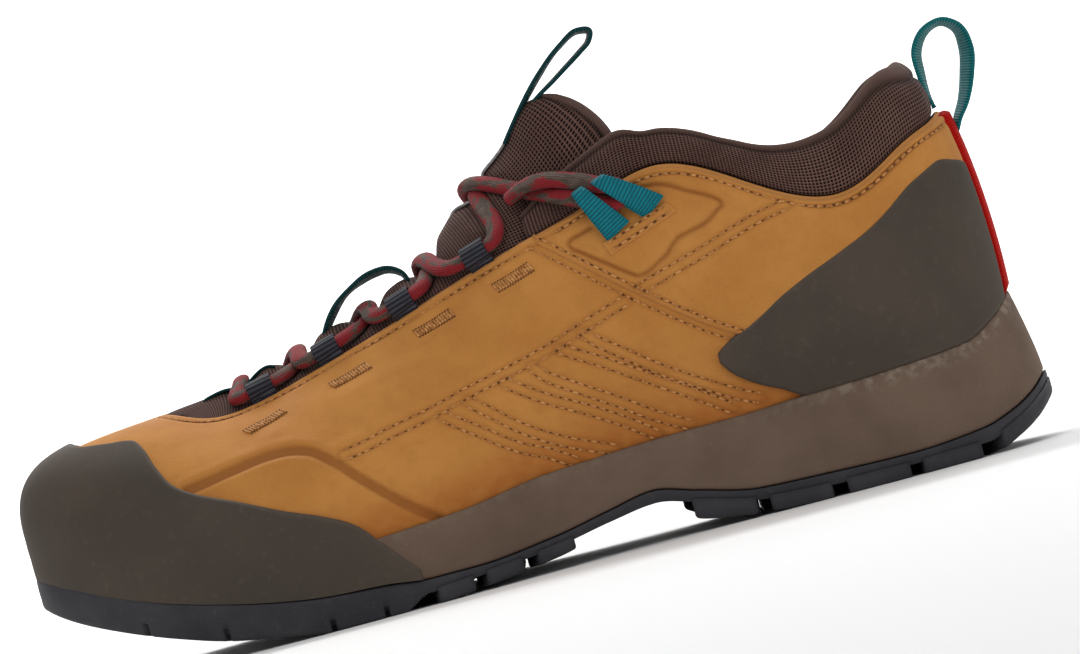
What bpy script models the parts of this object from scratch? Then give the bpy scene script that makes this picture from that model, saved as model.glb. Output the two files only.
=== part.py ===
"""Low approach shoe for the right foot.

A hollow leather upper stands on a cupped foam midsole and a lugged rubber outsole.
Rubber wraps the toe and the heel, a padded collar and tongue close the top,
and a lace runs through webbing loops. The toe points to -X and the inner side to -Y.
Every curved piece is worked out from one wall function, which follows the last.
"""
import math

import bmesh
import bpy
import numpy as np

MM = 0.001                # model units are metres, the tables are in millimetres

# Driving sizes in millimetres
WALL = 2.0                # leather with its lining
GAP = 0.3                 # air between touching pieces
RAND = 2.5                # rubber round the toe, with the air under it
RAND_GAP = 0.7            # air under the toe rubber, which curves both ways
OVERLAY_GAP = 0.7         # air under the pieces laid over the quarter
HEEL_RAND = 1.6           # rubber round the heel
PANEL = 1.0               # leather laid over the quarter
STRIP = 1.0               # tape down the heel seam
RIM_CLEAR = 0.012         # share of the wall by which overlays stay above the midsole's lip
LIP = 2.0                 # midsole rim outside the leather
INSOLE = 4.0
BED_INSET = 14.0          # from the sole's edge to the flat of the midsole's bed
BAND = 13.0               # width of the smooth edge under the toe
LUG_OUT = -0.7            # the edge lugs stand this far outside the sole's edge
LUG_IN = 12.5             # and reach this far inside it
COLLAR_DEPTH = 15.0       # padding that runs down inside the leather
WEBBING = 1.2             # thickness of every woven strap
LOOP_WIDTH = 8.0
LACE = 5.6                # lace diameter
MIDDLE = np.array([2.446, -0.29, 0.0])   # middle of the whole shoe in plan, which is put at the origin


def named_columns(names, rows):
    """A table as one array for each named column."""
    return dict(zip(names.split(), np.array(rows, dtype=float).T))


# The last: one row for each section, from the heel to the toe. x, inner and outer give the sole's
# edge. edge_x to edge_outer give the top line that the same section reaches. The wall between them
# starts upwards by rise and outwards by lean, and arrives from reach outside and drop below.
# inset is how far the leather stands inside the sole's edge.
LAST = named_columns(
    "x      inner outer edge_x edge_z edge_inner edge_outer rise lean reach drop inset", (
    (150.6,   0.0,  0.0, 139.7, 100.3,       0.0,       0.0,  24, 3.5,    4,  16, 8.0),
    (144.5,  19.0, 19.0, 135.6,  97.6,      16.0,      16.0,  24, 3.5,    4,  16, 7.5),
    (129.0,  32.0, 32.5, 123.5,  92.4,      27.0,      27.5,  24, 4.5,    3,  17, 6.5),
    (106.0,  38.0, 39.0, 104.0,  84.0,      31.5,      32.5,  22, 5.5,    1,  17, 6.5),
    ( 80.0,  37.5, 39.5,  81.0,  92.6,      32.5,      33.5,  24, 6.5,    1,  18, 6.0),
    ( 54.0,  35.5, 40.5,  56.0, 105.3,      31.5,      33.0,  28, 7.5,    3,  20, 5.5),
    ( 28.0,  35.0, 43.5,  30.0,  98.9,      28.3,      30.8,  28, 7.0,    7,  18, 5.0),
    (  2.0,  39.5, 48.0,   3.0,  91.6,      23.0,      25.5,  27, 5.0,    9,  15, 4.5),
    (-24.0,  47.0, 52.5, -22.0,  83.6,      18.3,      20.8,  25, 3.5,   14,  13, 4.0),
    (-50.0,  53.0, 54.5, -46.0,  76.2,      15.6,      17.4,  23, 3.0,   20,  11, 3.6),
    (-76.0,  55.5, 54.0, -68.0,  70.0,      14.8,      16.2,  22, 3.0,   23,   9, 3.4),
    (-101.0, 52.0, 48.5, -84.5,  67.4,      14.2,      15.2,  22, 3.0,   24,   6, 3.4),
    (-124.0, 42.0, 37.0, -94.5,  69.4,      11.5,      11.5,  23, 3.2,   28,   3, 3.4),
    (-142.4, 25.0, 19.5, -99.5,  71.7,       6.0,       5.6,  25, 3.6,   34,   2, 3.4),
    (-150.6,  3.5, -3.5, -101.0, 72.3,       0.0,       0.0,  26, 4.0,   39,   2, 3.4),
))

# The sole: heights along the shoe. tread is the lowest point, sheet the outsole's underside between
# its lugs, joint the line between outsole and midsole, bed the top of the midsole inside the shoe,
# and rim the visible top of the midsole outside it.
SOLE = named_columns(
    "x      tread sheet joint   bed   rim", (
    (-155.0, 29.0, 31.5, 37.5, 43.5, 44.1),
    (-141.0, 20.7, 24.0, 31.4, 38.4, 39.0),
    (-128.0, 15.0, 18.6, 25.7, 33.6, 34.2),
    (-112.0,  9.2, 13.0, 19.8, 28.4, 29.0),
    (-96.0,   4.6,  8.5, 15.3, 24.6, 25.2),
    (-80.0,   1.9,  5.7, 11.8, 22.0, 22.6),
    (-67.0,   0.0,  4.0,  9.9, 20.8, 21.4),
    (-50.0,   0.0,  3.8,  8.9, 20.0, 22.0),
    (-38.0,   0.0,  3.6,  7.4, 19.9, 22.7),
    (-24.0,   1.1,  4.5,  7.3, 20.4, 23.7),
    (0.0,     3.9,  6.8,  9.6, 23.2, 27.2),
    (16.0,    8.0,  9.6, 12.6, 24.6, 28.1),
    (30.0,   11.0, 11.4, 15.0, 25.4, 28.8),
    (42.0,    3.6,  8.6, 12.0, 26.0, 29.1),
    (60.0,    0.9,  4.6,  7.9, 26.8, 29.3),
    (76.0,    0.0,  3.6,  7.2, 27.4, 30.1),
    (105.0,   0.0,  3.4,  6.5, 28.0, 31.2),
    (127.0,   0.0,  3.9,  8.1, 28.4, 33.0),
    (137.0,   3.4,  7.2, 11.0, 28.8, 38.6),
    (144.0,   7.0, 10.6, 14.4, 29.2, 44.8),
    (151.0,  12.5, 16.0, 19.6, 29.4, 46.5),
))

HALF = len(LAST["x"]) - 1   # sections from the heel to the toe
TURN = 2 * HALF             # sections all round the shoe


def round_shoe(inner, outer):
    """Values from the heel along the inner side to the toe, and back along the outer side."""
    return np.concatenate([inner, outer[-2:0:-1]])


def closed_curve(values):
    """The smooth closed curve through evenly spaced values, as a function of the section."""
    count = len(values)
    unit = np.eye(count)
    system = 4 * unit + np.roll(unit, 1, 0) + np.roll(unit, -1, 0)
    slopes = np.linalg.solve(system, 3 * (np.roll(values, -1) - np.roll(values, 1)))

    def at(section):
        low = np.floor(section).astype(int)
        t = section - low
        a, b = low % count, (low + 1) % count
        return ((1 + 2 * t) * (1 - t) ** 2 * values[a] + t * (1 - t) ** 2 * slopes[a]
                + t * t * (3 - 2 * t) * values[b] - t * t * (1 - t) * slopes[b])
    return at


LAST_CURVES = {name: closed_curve(round_shoe(LAST[name], LAST[name]))
               for name in ("x", "edge_x", "edge_z", "rise", "lean", "reach", "drop", "inset")}
LAST_CURVES["y"] = closed_curve(round_shoe(-LAST["inner"], LAST["outer"]))
LAST_CURVES["edge_y"] = closed_curve(round_shoe(-LAST["edge_inner"], LAST["edge_outer"]))


def level(xs, ys, x):
    """Height at x on the smooth line through a table, which never overshoots its rows."""
    steps = np.diff(xs)
    rates = np.diff(ys) / steps
    slopes = np.zeros(len(xs))
    same_way = rates[:-1] * rates[1:] > 0
    slopes[1:-1][same_way] = (2 * rates[:-1] * rates[1:] / (rates[:-1] + rates[1:] + 1e-12))[same_way]
    slopes[0], slopes[-1] = rates[0], rates[-1]
    x = np.clip(x, xs[0], xs[-1])
    k = np.clip(np.searchsorted(xs, x, side="right") - 1, 0, len(steps) - 1)
    t = (x - xs[k]) / steps[k]
    return ((1 + 2 * t) * (1 - t) ** 2 * ys[k] + t * (1 - t) ** 2 * steps[k] * slopes[k]
            + t * t * (3 - 2 * t) * ys[k + 1] - t * t * (1 - t) * steps[k] * slopes[k + 1])


def sole_level(name, x):
    return level(SOLE["x"], SOLE[name], x)


def sole_edge(section, inset):
    """Point in plan on the sole's edge, moved inwards by inset."""
    x, y = LAST_CURVES["x"], LAST_CURVES["y"]
    step = 0.01
    along = np.stack([x(section + step) - x(section - step), y(section + step) - y(section - step)], -1)
    along /= np.linalg.norm(along, axis=-1, keepdims=True)
    outwards = np.stack([-along[..., 1], along[..., 0]], -1)
    place = np.stack([x(section), y(section)], -1)
    return place - np.asarray(inset)[..., None] * outwards, outwards


def wall(section, share):
    """Point on the leather's outer face, share 0 on the midsole and 1 at the top line."""
    section, share = np.broadcast_arrays(np.asarray(section, float), np.asarray(share, float))
    curves = {name: curve(section) for name, curve in LAST_CURVES.items()}
    foot, outwards = sole_edge(section, curves["inset"])
    foot = np.stack([foot[..., 0], foot[..., 1], sole_level("bed", foot[..., 0]) + GAP], -1)
    edge = np.stack([curves["edge_x"], curves["edge_y"], curves["edge_z"]], -1)
    out = np.stack([outwards[..., 0], outwards[..., 1], np.zeros(section.shape)], -1)
    up = np.array([0.0, 0.0, 1.0])
    first = foot + curves["rise"][..., None] * up + curves["lean"][..., None] * out
    last = edge - curves["drop"][..., None] * up + curves["reach"][..., None] * out
    t = share[..., None]
    return (1 - t) ** 3 * foot + 3 * t * (1 - t) ** 2 * first + 3 * t * t * (1 - t) * last + t ** 3 * edge


def wall_frame(section, share):
    """Directions on the leather: along it towards the toe, up it, and outwards."""
    step = 0.004
    along = wall(section + step, share) - wall(section - step, share)
    up = wall(section, share + step) - wall(section, share - step)
    out = np.cross(up, along)
    return [v / np.linalg.norm(v, axis=-1, keepdims=True) for v in (along, up, out)]


def off_wall(section, share, distance):
    """Point at a distance outside the leather's outer face."""
    section, share = np.broadcast_arrays(np.asarray(section, float), np.asarray(share, float))
    return wall(section, share) + np.asarray(distance)[..., None] * wall_frame(section, share)[2]


def share_at_height(section, height):
    """Share of the wall, below its shoulder, at which it reaches a height."""
    low, high = np.zeros(np.shape(section)), np.full(np.shape(section), 0.95)
    for _ in range(30):
        middle = (low + high) / 2
        below = wall(section, middle)[..., 2] < height
        low, high = np.where(below, middle, low), np.where(below, high, middle)
    return (low + high) / 2


# Edges of the pieces laid over the leather, as the share of the wall that they reach at a section.
# The inner side is listed, and the outer side mirrors it.
RAND_ROWS = np.array([0.0, 0.18, 0.36, 0.5, 0.62, 0.74, 0.87, 1.0])
TOE_RAND_EDGE = named_columns(
    "section share", (
    (8.6, -0.80), (8.8, -0.35), (9.0, 0.02), (9.5, 0.17), (10.0, 0.25), (10.5, 0.33), (11.0, 0.39),
    (11.3, 0.44), (11.6, 0.54), (12.0, 0.667), (12.3, 0.715), (12.7, 0.68), (13.2, 0.65), (14.0, 0.69),
))
HEEL_RAND_EDGE = named_columns(
    "section top bottom", (
    (0.0, 0.66, 0.0), (0.5, 0.68, 0.0), (1.0, 0.747, 0.0), (1.5, 0.805, 0.0), (2.0, 0.805, 0.0),
    (2.5, 0.772, 0.0), (3.0, 0.717, 0.0), (3.5, 0.602, 0.0), (4.0, 0.451, 0.0), (4.25, 0.378, 0.05),
    (4.5, 0.316, 0.095), (4.75, 0.263, 0.155), (4.86, 0.235, 0.2),
))
PANEL_EDGE = named_columns(
    "section bottom", (
    (4.5, 0.33), (4.75, 0.335), (5.0, 0.356), (5.25, 0.414), (5.5, 0.489), (5.75, 0.579),
    (6.0, 0.674), (6.25, 0.784), (6.5, 0.93),
))

# The padded collar: how far it stands above the top line, its thickness, and how far its foot and
# its belly lie outside the leather's face.
COLLAR = named_columns(
    "section height thick foot belly", (
    (0.0, 17.0, 8.0, -2.0, -1.3), (0.6, 17.8, 8.0, -1.6, -0.6), (1.0, 18.5, 8.0, -0.8, 0.5),
    (2.0, 22.0, 7.6, -0.6, 0.8), (3.0, 19.0, 7.0, -0.6, 0.8), (4.0, 12.8, 6.4, -0.6, 0.8),
    (5.0, 11.0, 5.0, -0.6, -0.1), (5.5, 15.0, 4.0, -0.8, -0.7), (6.0, 8.5, 3.4, -0.8, -0.7),
    (6.25, 4.0, 3.0, -0.8, -0.7),
))
COLLAR_END = 6.25

# The tongue: rows from the toe end to the top. crest is its middle line, section the wall section at
# its edges, inside how far it lies within the leather there, above how far over the top line its
# shoulder is, tuck the share of the wall that its edges reach down to, and bulge how far the top
# stands out between its crest and its shoulders.
TONGUE_ROWS = named_columns(
    "crest_x crest_z section inside above tuck thick bulge", (
    (-105.0,  67.6, 12.3, 2.7,  -1.0, 0.90, 2.5, 0.0),
    (-96.0,   69.2, 11.6, 2.7,  -0.5, 0.88, 3.0, 0.0),
    (-82.0,   70.4, 10.9, 2.7,   0.0, 0.86, 4.0, 0.0),
    (-66.0,   72.8,  9.9, 2.7,   0.0, 0.86, 5.0, 0.0),
    (-50.0,   77.6,  9.2, 2.7,   0.0, 0.86, 5.0, 0.0),
    (-34.0,   82.8,  8.5, 2.7,   0.0, 0.86, 5.0, 0.0),
    (-19.0,   89.2,  7.9, 2.8,   0.0, 0.86, 5.0, 0.0),
    (-6.0,    98.8,  7.3, 3.0,   0.0, 0.87, 5.0, 0.0),
    (5.0,    110.5,  6.8, 3.6,   0.0, 0.88, 5.5, 0.0),
    (15.0,   121.5,  6.3, 8.2,   1.0, 0.90, 6.0, 0.8),
    (23.0,   130.0,  5.9, 9.8,   6.0, 0.94, 6.0, 2.4),
    (29.0,   134.2,  5.5, 10.8,  15.0, 0.99, 5.0, 4.0),
))
BULGE_WAY = np.array([0.75, 0.0, 0.66])

# Woven loops that carry the lace, from the top of the throat down: their section on the inner side.
LACE_LOOPS = (7.15, 8.15, 9.18, 10.2)
TOP_LOOPS = (5.75, 6.02)
LOOP_REACH = 5.2          # from the leather's edge to the lace in a dark loop
LOOP_HEIGHT = 3.3         # of the lace's middle over the leather's face there
TOP_REACH = 5.0           # the same in a top loop
TOP_HEIGHT = 5.6
TOP_WIDTH = 6.0
LOOP_SLACK = 0.8          # air between the lace and its dark loop
TOP_SLACK = 0.7           # and its top loop
# Where a loop's two ends lie: over the leather's edge, and over its face
LOOP_TAIL = ((GAP, -WALL), (GAP, -WALL + 1.6))
TOP_TAIL = ((-12.0, PANEL + 1.7), (-12.0, PANEL + 3.4))

STRAP_WIDTH = 9.0
STRAP_POINTS = 16
HEEL_LOOP_TILT = 0.4      # largest tilt of a strap's width, in radians
KEEPER_TILT = 0.3

# Places of the straps in the middle plane, x and z
HEEL_LOOP = ((138.8, 101.4), (137.8, 106.5), (137.5, 112.0), (138.0, 119.0), (141.5, 123.8), (147.2, 125.4),
             (151.8, 122.8), (153.4, 116.0), (151.6, 109.0), (148.2, 101.5), (145.4, 94.5), (145.5, 88.0))
TONGUE_LOOP = ((14.9, 123.6), (18.2, 128.4), (21.6, 133.4), (25.8, 138.0), (32.0, 143.2), (39.0, 147.8),
               (44.6, 150.0), (46.9, 148.4), (44.6, 145.2), (40.4, 142.4), (35.6, 139.4), (33.2, 135.6))
KEEPER_LOOP = ((-52.3, 79.2), (-50.4, 83.2), (-47.4, 87.6), (-43.6, 91.5), (-38.4, 94.6), (-32.8, 96.4),
               (-27.8, 96.4), (-24.4, 94.2), (-22.8, 90.4))


def from_table(table, name, section):
    """A tabled value at a section of either side, which mirror each other."""
    near = HALF - np.abs(HALF - np.mod(section, TURN))
    return np.interp(near, table["section"], table[name])


def rim_share(section):
    x = wall(section, np.zeros(np.shape(section)))[..., 0]
    return share_at_height(section, sole_level("rim", x))


def rim_lip(section):
    """Thickness of the midsole's rim, which thins out under the toe rubber."""
    x = wall(section, np.zeros(np.shape(section)))[..., 0]
    return np.interp(x, (-66.0, -40.0), (0.5, LIP))


def midsole_inset(x):
    return np.interp(x, (-66.0, -46.0, -36.0), (RAND + 0.6, 1.2, 0.4))


def midsole_foot(section):
    """Point on the midsole's lower edge."""
    plain, _ = sole_edge(section, 0.0 * section)
    edge, _ = sole_edge(section, midsole_inset(plain[..., 0]))
    return np.concatenate([edge, sole_level("joint", edge[..., :1]) + GAP], -1)


def skin(section, share):
    """Point on what shows: below 0 the side of the midsole, from 0 to 1 the leather above its rim."""
    section, share = np.broadcast_arrays(np.asarray(section, float), np.asarray(share, float))
    rim = rim_share(section)
    lip = rim_lip(section)
    on_leather = np.maximum(share, 0.0)
    fade = np.clip(1 - on_leather / 0.08, 0, 1)
    upper_part = off_wall(section, rim + on_leather * (1 - rim), lip * fade)
    drop = np.clip(-share, 0, 1)[..., None]
    return (1 - drop) * upper_part + drop * midsole_foot(section)


def grid_normals(grid, closed):
    """Outward directions on a grid whose rows go up and whose columns go towards the toe and round."""
    if closed:
        along = np.roll(grid, -1, 1) - np.roll(grid, 1, 1)
    else:
        along = np.gradient(grid, axis=1)
    up = np.gradient(grid, axis=0)
    out = np.cross(up, along)
    return out / np.linalg.norm(out, axis=-1, keepdims=True)


def collection(name, hidden=False):
    made = bpy.data.collections.new(name)
    bpy.context.scene.collection.children.link(made)
    made.hide_render = hidden
    return made


def material(name, colour, roughness):
    made = bpy.data.materials.new(name)
    made.use_nodes = True
    shader = made.node_tree.nodes["Principled BSDF"]
    shader.inputs["Base Color"].default_value = (*colour, 1.0)
    shader.inputs["Roughness"].default_value = roughness
    made.diffuse_color = (*colour, 1.0)
    return made


def mesh_object(name, points, faces, finish, home):
    mesh = bpy.data.meshes.new(name)
    mesh.from_pydata([tuple(p) for p in (np.asarray(points) - MIDDLE) * MM], [], faces)
    tidy = bmesh.new()
    tidy.from_mesh(mesh)
    bmesh.ops.recalc_face_normals(tidy, faces=tidy.faces)
    tidy.to_mesh(mesh)
    tidy.free()
    mesh.materials.append(finish)
    mesh.shade_smooth()
    mesh.set_sharp_from_angle(angle=math.radians(40))
    made = bpy.data.objects.new(name, mesh)
    home.objects.link(made)
    return made


def quads(rows, columns, closed, start=0):
    """Faces of a grid of points, wrapped round when closed."""
    wide = columns if closed else columns - 1
    return [(start + r * columns + c, start + r * columns + (c + 1) % columns,
             start + (r + 1) * columns + (c + 1) % columns, start + (r + 1) * columns + c)
            for r in range(rows - 1) for c in range(wide)]


def shell(name, outer, inner, closed, finish, home):
    """Solid between an outer and an inner grid of points."""
    rows, columns = outer.shape[:2]
    count = rows * columns
    faces = quads(rows, columns, closed)
    faces += [tuple(reversed(f)) for f in quads(rows, columns, closed, count)]
    wide = columns if closed else columns - 1
    for row in (0, rows - 1):
        ends = [(row * columns + c, row * columns + (c + 1) % columns) for c in range(wide)]
        faces += [(a, b, b + count, a + count) for a, b in ends]
    if not closed:
        for column in (0, columns - 1):
            ends = [(r * columns + column, (r + 1) * columns + column) for r in range(rows - 1)]
            faces += [(a, b, b + count, a + count) for a, b in ends]
    points = np.concatenate([outer.reshape(-1, 3), inner.reshape(-1, 3)])
    return mesh_object(name, points, faces, finish, home)


def ladder(ring, flip):
    """Faces that close a ring by joining each section to the one across the shoe."""
    count = len(ring)
    half = count // 2
    faces = [(ring[0], ring[1], ring[-1]), (ring[half - 1], ring[half], ring[half + 1])]
    faces += [(ring[i], ring[i + 1], ring[count - i - 1], ring[count - i]) for i in range(1, half - 1)]
    return [tuple(reversed(f)) for f in faces] if flip else faces


def stack(name, rings, finish, home):
    """Solid through rings round the shoe, closed across the first and the last."""
    rings = np.array(rings)
    rows, columns = rings.shape[:2]
    first = list(range(columns))
    last = [(rows - 1) * columns + c for c in first]
    faces = quads(rows, columns, True) + ladder(first, True) + ladder(last, False)
    return mesh_object(name, rings.reshape(-1, 3), faces, finish, home)


def tube(name, sections, finish, home):
    """Solid through small cross sections, with a flat face at each end."""
    sections = np.array(sections)
    rows, columns = sections.shape[:2]
    faces = quads(rows, columns, True)
    faces += [tuple(range(columns)), tuple((rows - 1) * columns + c for c in range(columns))]
    return mesh_object(name, sections.reshape(-1, 3), faces, finish, home)


def curve_through(points, steps):
    """Points on a smooth curve through a route, a few for each stretch."""
    points = np.array(points, float)
    gaps = np.maximum(np.linalg.norm(np.diff(points, axis=0), axis=1), 1e-6)
    slopes = np.zeros_like(points)
    rates = np.diff(points, axis=0) / gaps[:, None]
    before, after = gaps[:-1, None], gaps[1:, None]
    slopes[1:-1] = (rates[:-1] * after + rates[1:] * before) / (before + after)
    slopes[0], slopes[-1] = rates[0], rates[-1]
    made = []
    for k, gap in enumerate(gaps):
        for t in np.linspace(0, 1, steps, endpoint=False):
            made.append((1 + 2 * t) * (1 - t) ** 2 * points[k] + t * (1 - t) ** 2 * gap * slopes[k]
                        + t * t * (3 - 2 * t) * points[k + 1] - t * t * (1 - t) * gap * slopes[k + 1])
    return np.array(made + [points[-1]])


def smooth_path(points, count):
    """Evenly spaced points on a smooth curve through a route."""
    fine = curve_through(points, 12)
    length = np.concatenate([[0], np.cumsum(np.linalg.norm(np.diff(fine, axis=0), axis=1))])
    at = np.linspace(0, length[-1], count)
    return np.stack([np.interp(at, length, fine[:, k]) for k in range(3)], -1)


def unite(base, pieces):
    """Join solids that overlap into one."""
    for piece in pieces:
        joined = base.modifiers.new("join", "BOOLEAN")
        joined.operation = "UNION"
        joined.solver = "EXACT"
        joined.object = piece
        piece.hide_render = True
        piece.display_type = "WIRE"


def stations(start, end):
    """Sections at which curved pieces have their points: closer round the heel and the toe."""
    half = np.concatenate([np.arange(0, 9) / 3, np.arange(6, 22) / 2, 11 + np.arange(0, 9) / 3])
    turn = np.concatenate([half, TURN - half[::-1] + 0.0])
    turn = np.unique(np.round(np.append(turn, HALF), 6))
    turn = turn[turn < TURN]
    every = np.concatenate([turn - TURN, turn])
    inside = every[(every > start + 0.08) & (every < end - 0.08)]
    return np.concatenate([[start], inside, [end]])


def all_round():
    """One full round of the stations, which doesn't repeat the heel."""
    return stations(0, TURN)[:-1]


def on_sole(edge, name, lift=0.0):
    """Points of an outline in plan, at a height from the sole's table."""
    return np.concatenate([edge, sole_level(name, edge[..., :1]) + lift], -1)


def lug(section_from, section_to, inset_from, inset_to, finish, cutters):
    """Block under the sole whose outer side follows the sole's edge."""
    count = max(3, round((section_to - section_from) / 0.3))
    outer = np.linspace(section_from, section_to, count)
    near, _ = sole_edge(outer, np.full(count, inset_from))
    far, _ = sole_edge(outer[::-1], np.full(count, inset_to))
    plan = np.concatenate([near, far])
    low = on_sole(plan, "tread")
    high = on_sole(plan, "sheet", 1.0)
    return tube("lug", [low, high], finish, cutters)


def block(x, y, length, width, slant, finish, cutters):
    """Slanted block under the sole."""
    plan = np.array([(x - length / 2 + slant, y - width / 2), (x + length / 2 + slant, y - width / 2),
                     (x + length / 2 - slant, y + width / 2), (x - length / 2 - slant, y + width / 2)])
    return tube("lug", [on_sole(plan, "tread"), on_sole(plan, "sheet", 1.0)], finish, cutters)


def section_at(x):
    """Section whose sole edge lies at x, on the inner side."""
    return float(np.interp(-x, -LAST["x"], np.arange(HALF + 1)))


# Lugs along the edge: where each starts and ends along the shoe.
EDGE_LUGS = ((-36.5, -26.0), (-22.0, -11.0), (-6.5, 4.5), (40.0, 58.0), (62.0, 80.0), (84.5, 103.0),
             (107.0, 124.0))
# Lugs inside the edge: x, y, length along the shoe, width, slant
INNER_LUGS = (
    (-88.0, 0.0, 11.0, 24.0, 0.0), (-70.0, -20.0, 11.0, 18.0, 3.0), (-70.0, 20.0, 11.0, 18.0, -3.0),
    (-52.0, 0.0, 14.0, 24.0, 0.0), (-52.0, -28.0, 11.0, 17.0, 3.0), (-52.0, 28.0, 11.0, 17.0, -3.0),
    (-33.0, 0.0, 10.0, 26.0, 0.0), (-16.0, 3.0, 10.0, 26.0, 0.0), (66.0, 1.0, 12.0, 24.0, 0.0),
    (86.0, 0.5, 13.0, 24.0, 0.0), (105.0, 0.5, 14.0, 26.0, 0.0),
)


def make_outsole(finish, home, cutters):
    """Rubber unit: a smooth edge under the toe, a thin sheet under the arch, and lugs."""
    around = all_round()
    plain, _ = sole_edge(around, 0 * around)
    toe_edge = np.interp(plain[:, 0], (-46.0, -40.0), (1.0, 0.0))

    def ring(inset):
        edge, _ = sole_edge(around, np.full(len(around), inset))
        low = sole_level("tread", edge[:, 0]) * toe_edge + sole_level("sheet", edge[:, 0]) * (1 - toe_edge)
        return np.concatenate([edge, low[:, None]], 1)

    step, _ = sole_edge(around, np.full(len(around), BAND + 1.5))
    top, _ = sole_edge(around, np.full(len(around), 0.2))
    base = stack("outsole", [on_sole(top, "joint"), ring(0.0), ring(BAND), on_sole(step, "sheet")],
                 finish, home)
    lugs = []
    for start, end in EDGE_LUGS:
        a, b = section_at(end), section_at(start)
        lugs.append(lug(a, b, LUG_OUT, LUG_IN, finish, cutters))
        lugs.append(lug(TURN - b, TURN - a, LUG_OUT, LUG_IN, finish, cutters))
    lugs.append(lug(0.12, section_at(131.0), LUG_OUT, LUG_IN, finish, cutters))
    lugs.append(lug(TURN - section_at(131.0), TURN - 0.12, LUG_OUT, LUG_IN, finish, cutters))
    lugs += [block(*row, finish, cutters) for row in INNER_LUGS]
    unite(base, lugs)
    return base


def make_midsole(finish, home):
    """Foam cup: its rim stands outside the leather and climbs behind the heel."""
    around = all_round()
    rim = rim_share(around)
    lip = rim_lip(around)
    low = midsole_foot(around)
    high = off_wall(around, rim, lip)
    bed_corner = off_wall(around, 0 * around, np.full(len(around), GAP))
    bed_corner[:, 2] -= GAP
    inside, _ = sole_edge(around, np.full(len(around), BED_INSET))
    return stack("midsole", [low, (low + high) / 2, high, off_wall(around, rim, 0 * around + GAP),
                             bed_corner, on_sole(inside, "bed")], finish, home)


def make_insole(finish, home):
    around = all_round()
    wall_inside = WALL + 0.7
    low = off_wall(around, 0 * around, 0 * around - wall_inside)
    low[:, 2] = sole_level("bed", low[:, 0]) + GAP
    high = low + np.array([0.0, 0.0, INSOLE])
    return stack("insole", [low, high], finish, home)


def make_upper(finish, home):
    """Hollow leather shell, open at the throat, the collar and underneath."""
    around = all_round()
    shares = np.array([0, 0.09, 0.2, 0.32, 0.44, 0.55, 0.66, 0.77, 0.88, 1.0])
    section, share = np.meshgrid(around, shares)
    outer = wall(section, share)
    inner = outer - WALL * grid_normals(outer, True)
    inner[0, :, 2] = outer[0, :, 2]
    return shell("upper", outer, inner, True, finish, home)


def make_toe_rand(finish, home):
    """Rubber that wraps the toe and runs back along both sides."""
    start = TOE_RAND_EDGE["section"][0]
    sections = stations(start, TURN - start)
    high = from_table(TOE_RAND_EDGE, "share", sections)
    thick = np.interp(np.minimum(sections, TURN - sections), (start, 9.4), (0.8, RAND - RAND_GAP))
    share = -1.0 + (high + 1.0) * RAND_ROWS[:, None]
    section = np.broadcast_to(sections, share.shape)
    base = skin(section, share)
    out = grid_normals(base, False)
    toe = np.interp(np.minimum(sections, TURN - sections), (10.0, 11.5), (0.0, 0.5))
    inner = base + (RAND_GAP + toe)[None, :, None] * out
    outer = inner + thick[None, :, None] * (1 - 0.5 * RAND_ROWS ** 3)[:, None, None] * out
    for face in (inner, outer):
        face[0, :, 2] = sole_level("joint", face[0, :, 0]) + 1.5 * GAP
    return shell("toe_rand", outer, inner, False, finish, home)


def side_of(sections, outer_side):
    return TURN - sections[::-1] if outer_side else sections


STRIP_HALF = 0.4          # half width of the heel tape, as a part of a section
STRIP_GAP = 0.03          # between the tape and the pieces beside it, also in sections
STRIP_TOP = 0.99          # share of the wall at the tape's upper end
PANEL_TOP = 0.995         # and at the panels' upper edge


def make_heel_rand(name, outer_side, finish, home):
    """Rubber round one side of the heel, from the tape to its rounded front end."""
    end = HEEL_RAND_EDGE["section"][-1]
    sections = side_of(stations(STRIP_HALF + STRIP_GAP, end), outer_side)
    high = from_table(HEEL_RAND_EDGE, "top", sections)
    low = from_table(HEEL_RAND_EDGE, "bottom", sections)
    share = RIM_CLEAR + low + (high - low - RIM_CLEAR) * np.linspace(0, 1, 6)[:, None]
    return leather_overlay(name, sections, share, HEEL_RAND, finish, home)


def leather_overlay(name, sections, share, thickness, finish, home):
    """Shell on the leather above the rim."""
    section = np.broadcast_to(sections, share.shape)
    rim = rim_share(section)
    place = rim + share * (1 - rim)
    return shell(name, off_wall(section, place, OVERLAY_GAP + thickness),
                 off_wall(section, place, OVERLAY_GAP), False, finish, home)


def make_panel(name, outer_side, finish, home):
    """Leather laid over the quarter, from the slanting seam back to the heel tape."""
    sections = side_of(stations(STRIP_HALF + STRIP_GAP, PANEL_EDGE["section"][-1] - 0.05), outer_side)
    near = np.minimum(sections, TURN - sections)
    over_rand = from_table(HEEL_RAND_EDGE, "top", sections) + RIM_CLEAR
    seam = from_table(PANEL_EDGE, "bottom", sections)
    low = np.where(near < 4.5, over_rand, np.maximum(seam, np.where(near < 4.86, over_rand, 0)))
    share = low + (PANEL_TOP - low) * np.linspace(0, 1, 6)[:, None]
    return leather_overlay(name, sections, share, PANEL, finish, home)


def make_heel_strip(finish, home):
    sections = np.linspace(-STRIP_HALF, STRIP_HALF, 5)
    share = np.linspace(RIM_CLEAR, STRIP_TOP, 9)[:, None] + 0 * sections
    return leather_overlay("heel_strip", sections, share, STRIP, finish, home)


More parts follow.
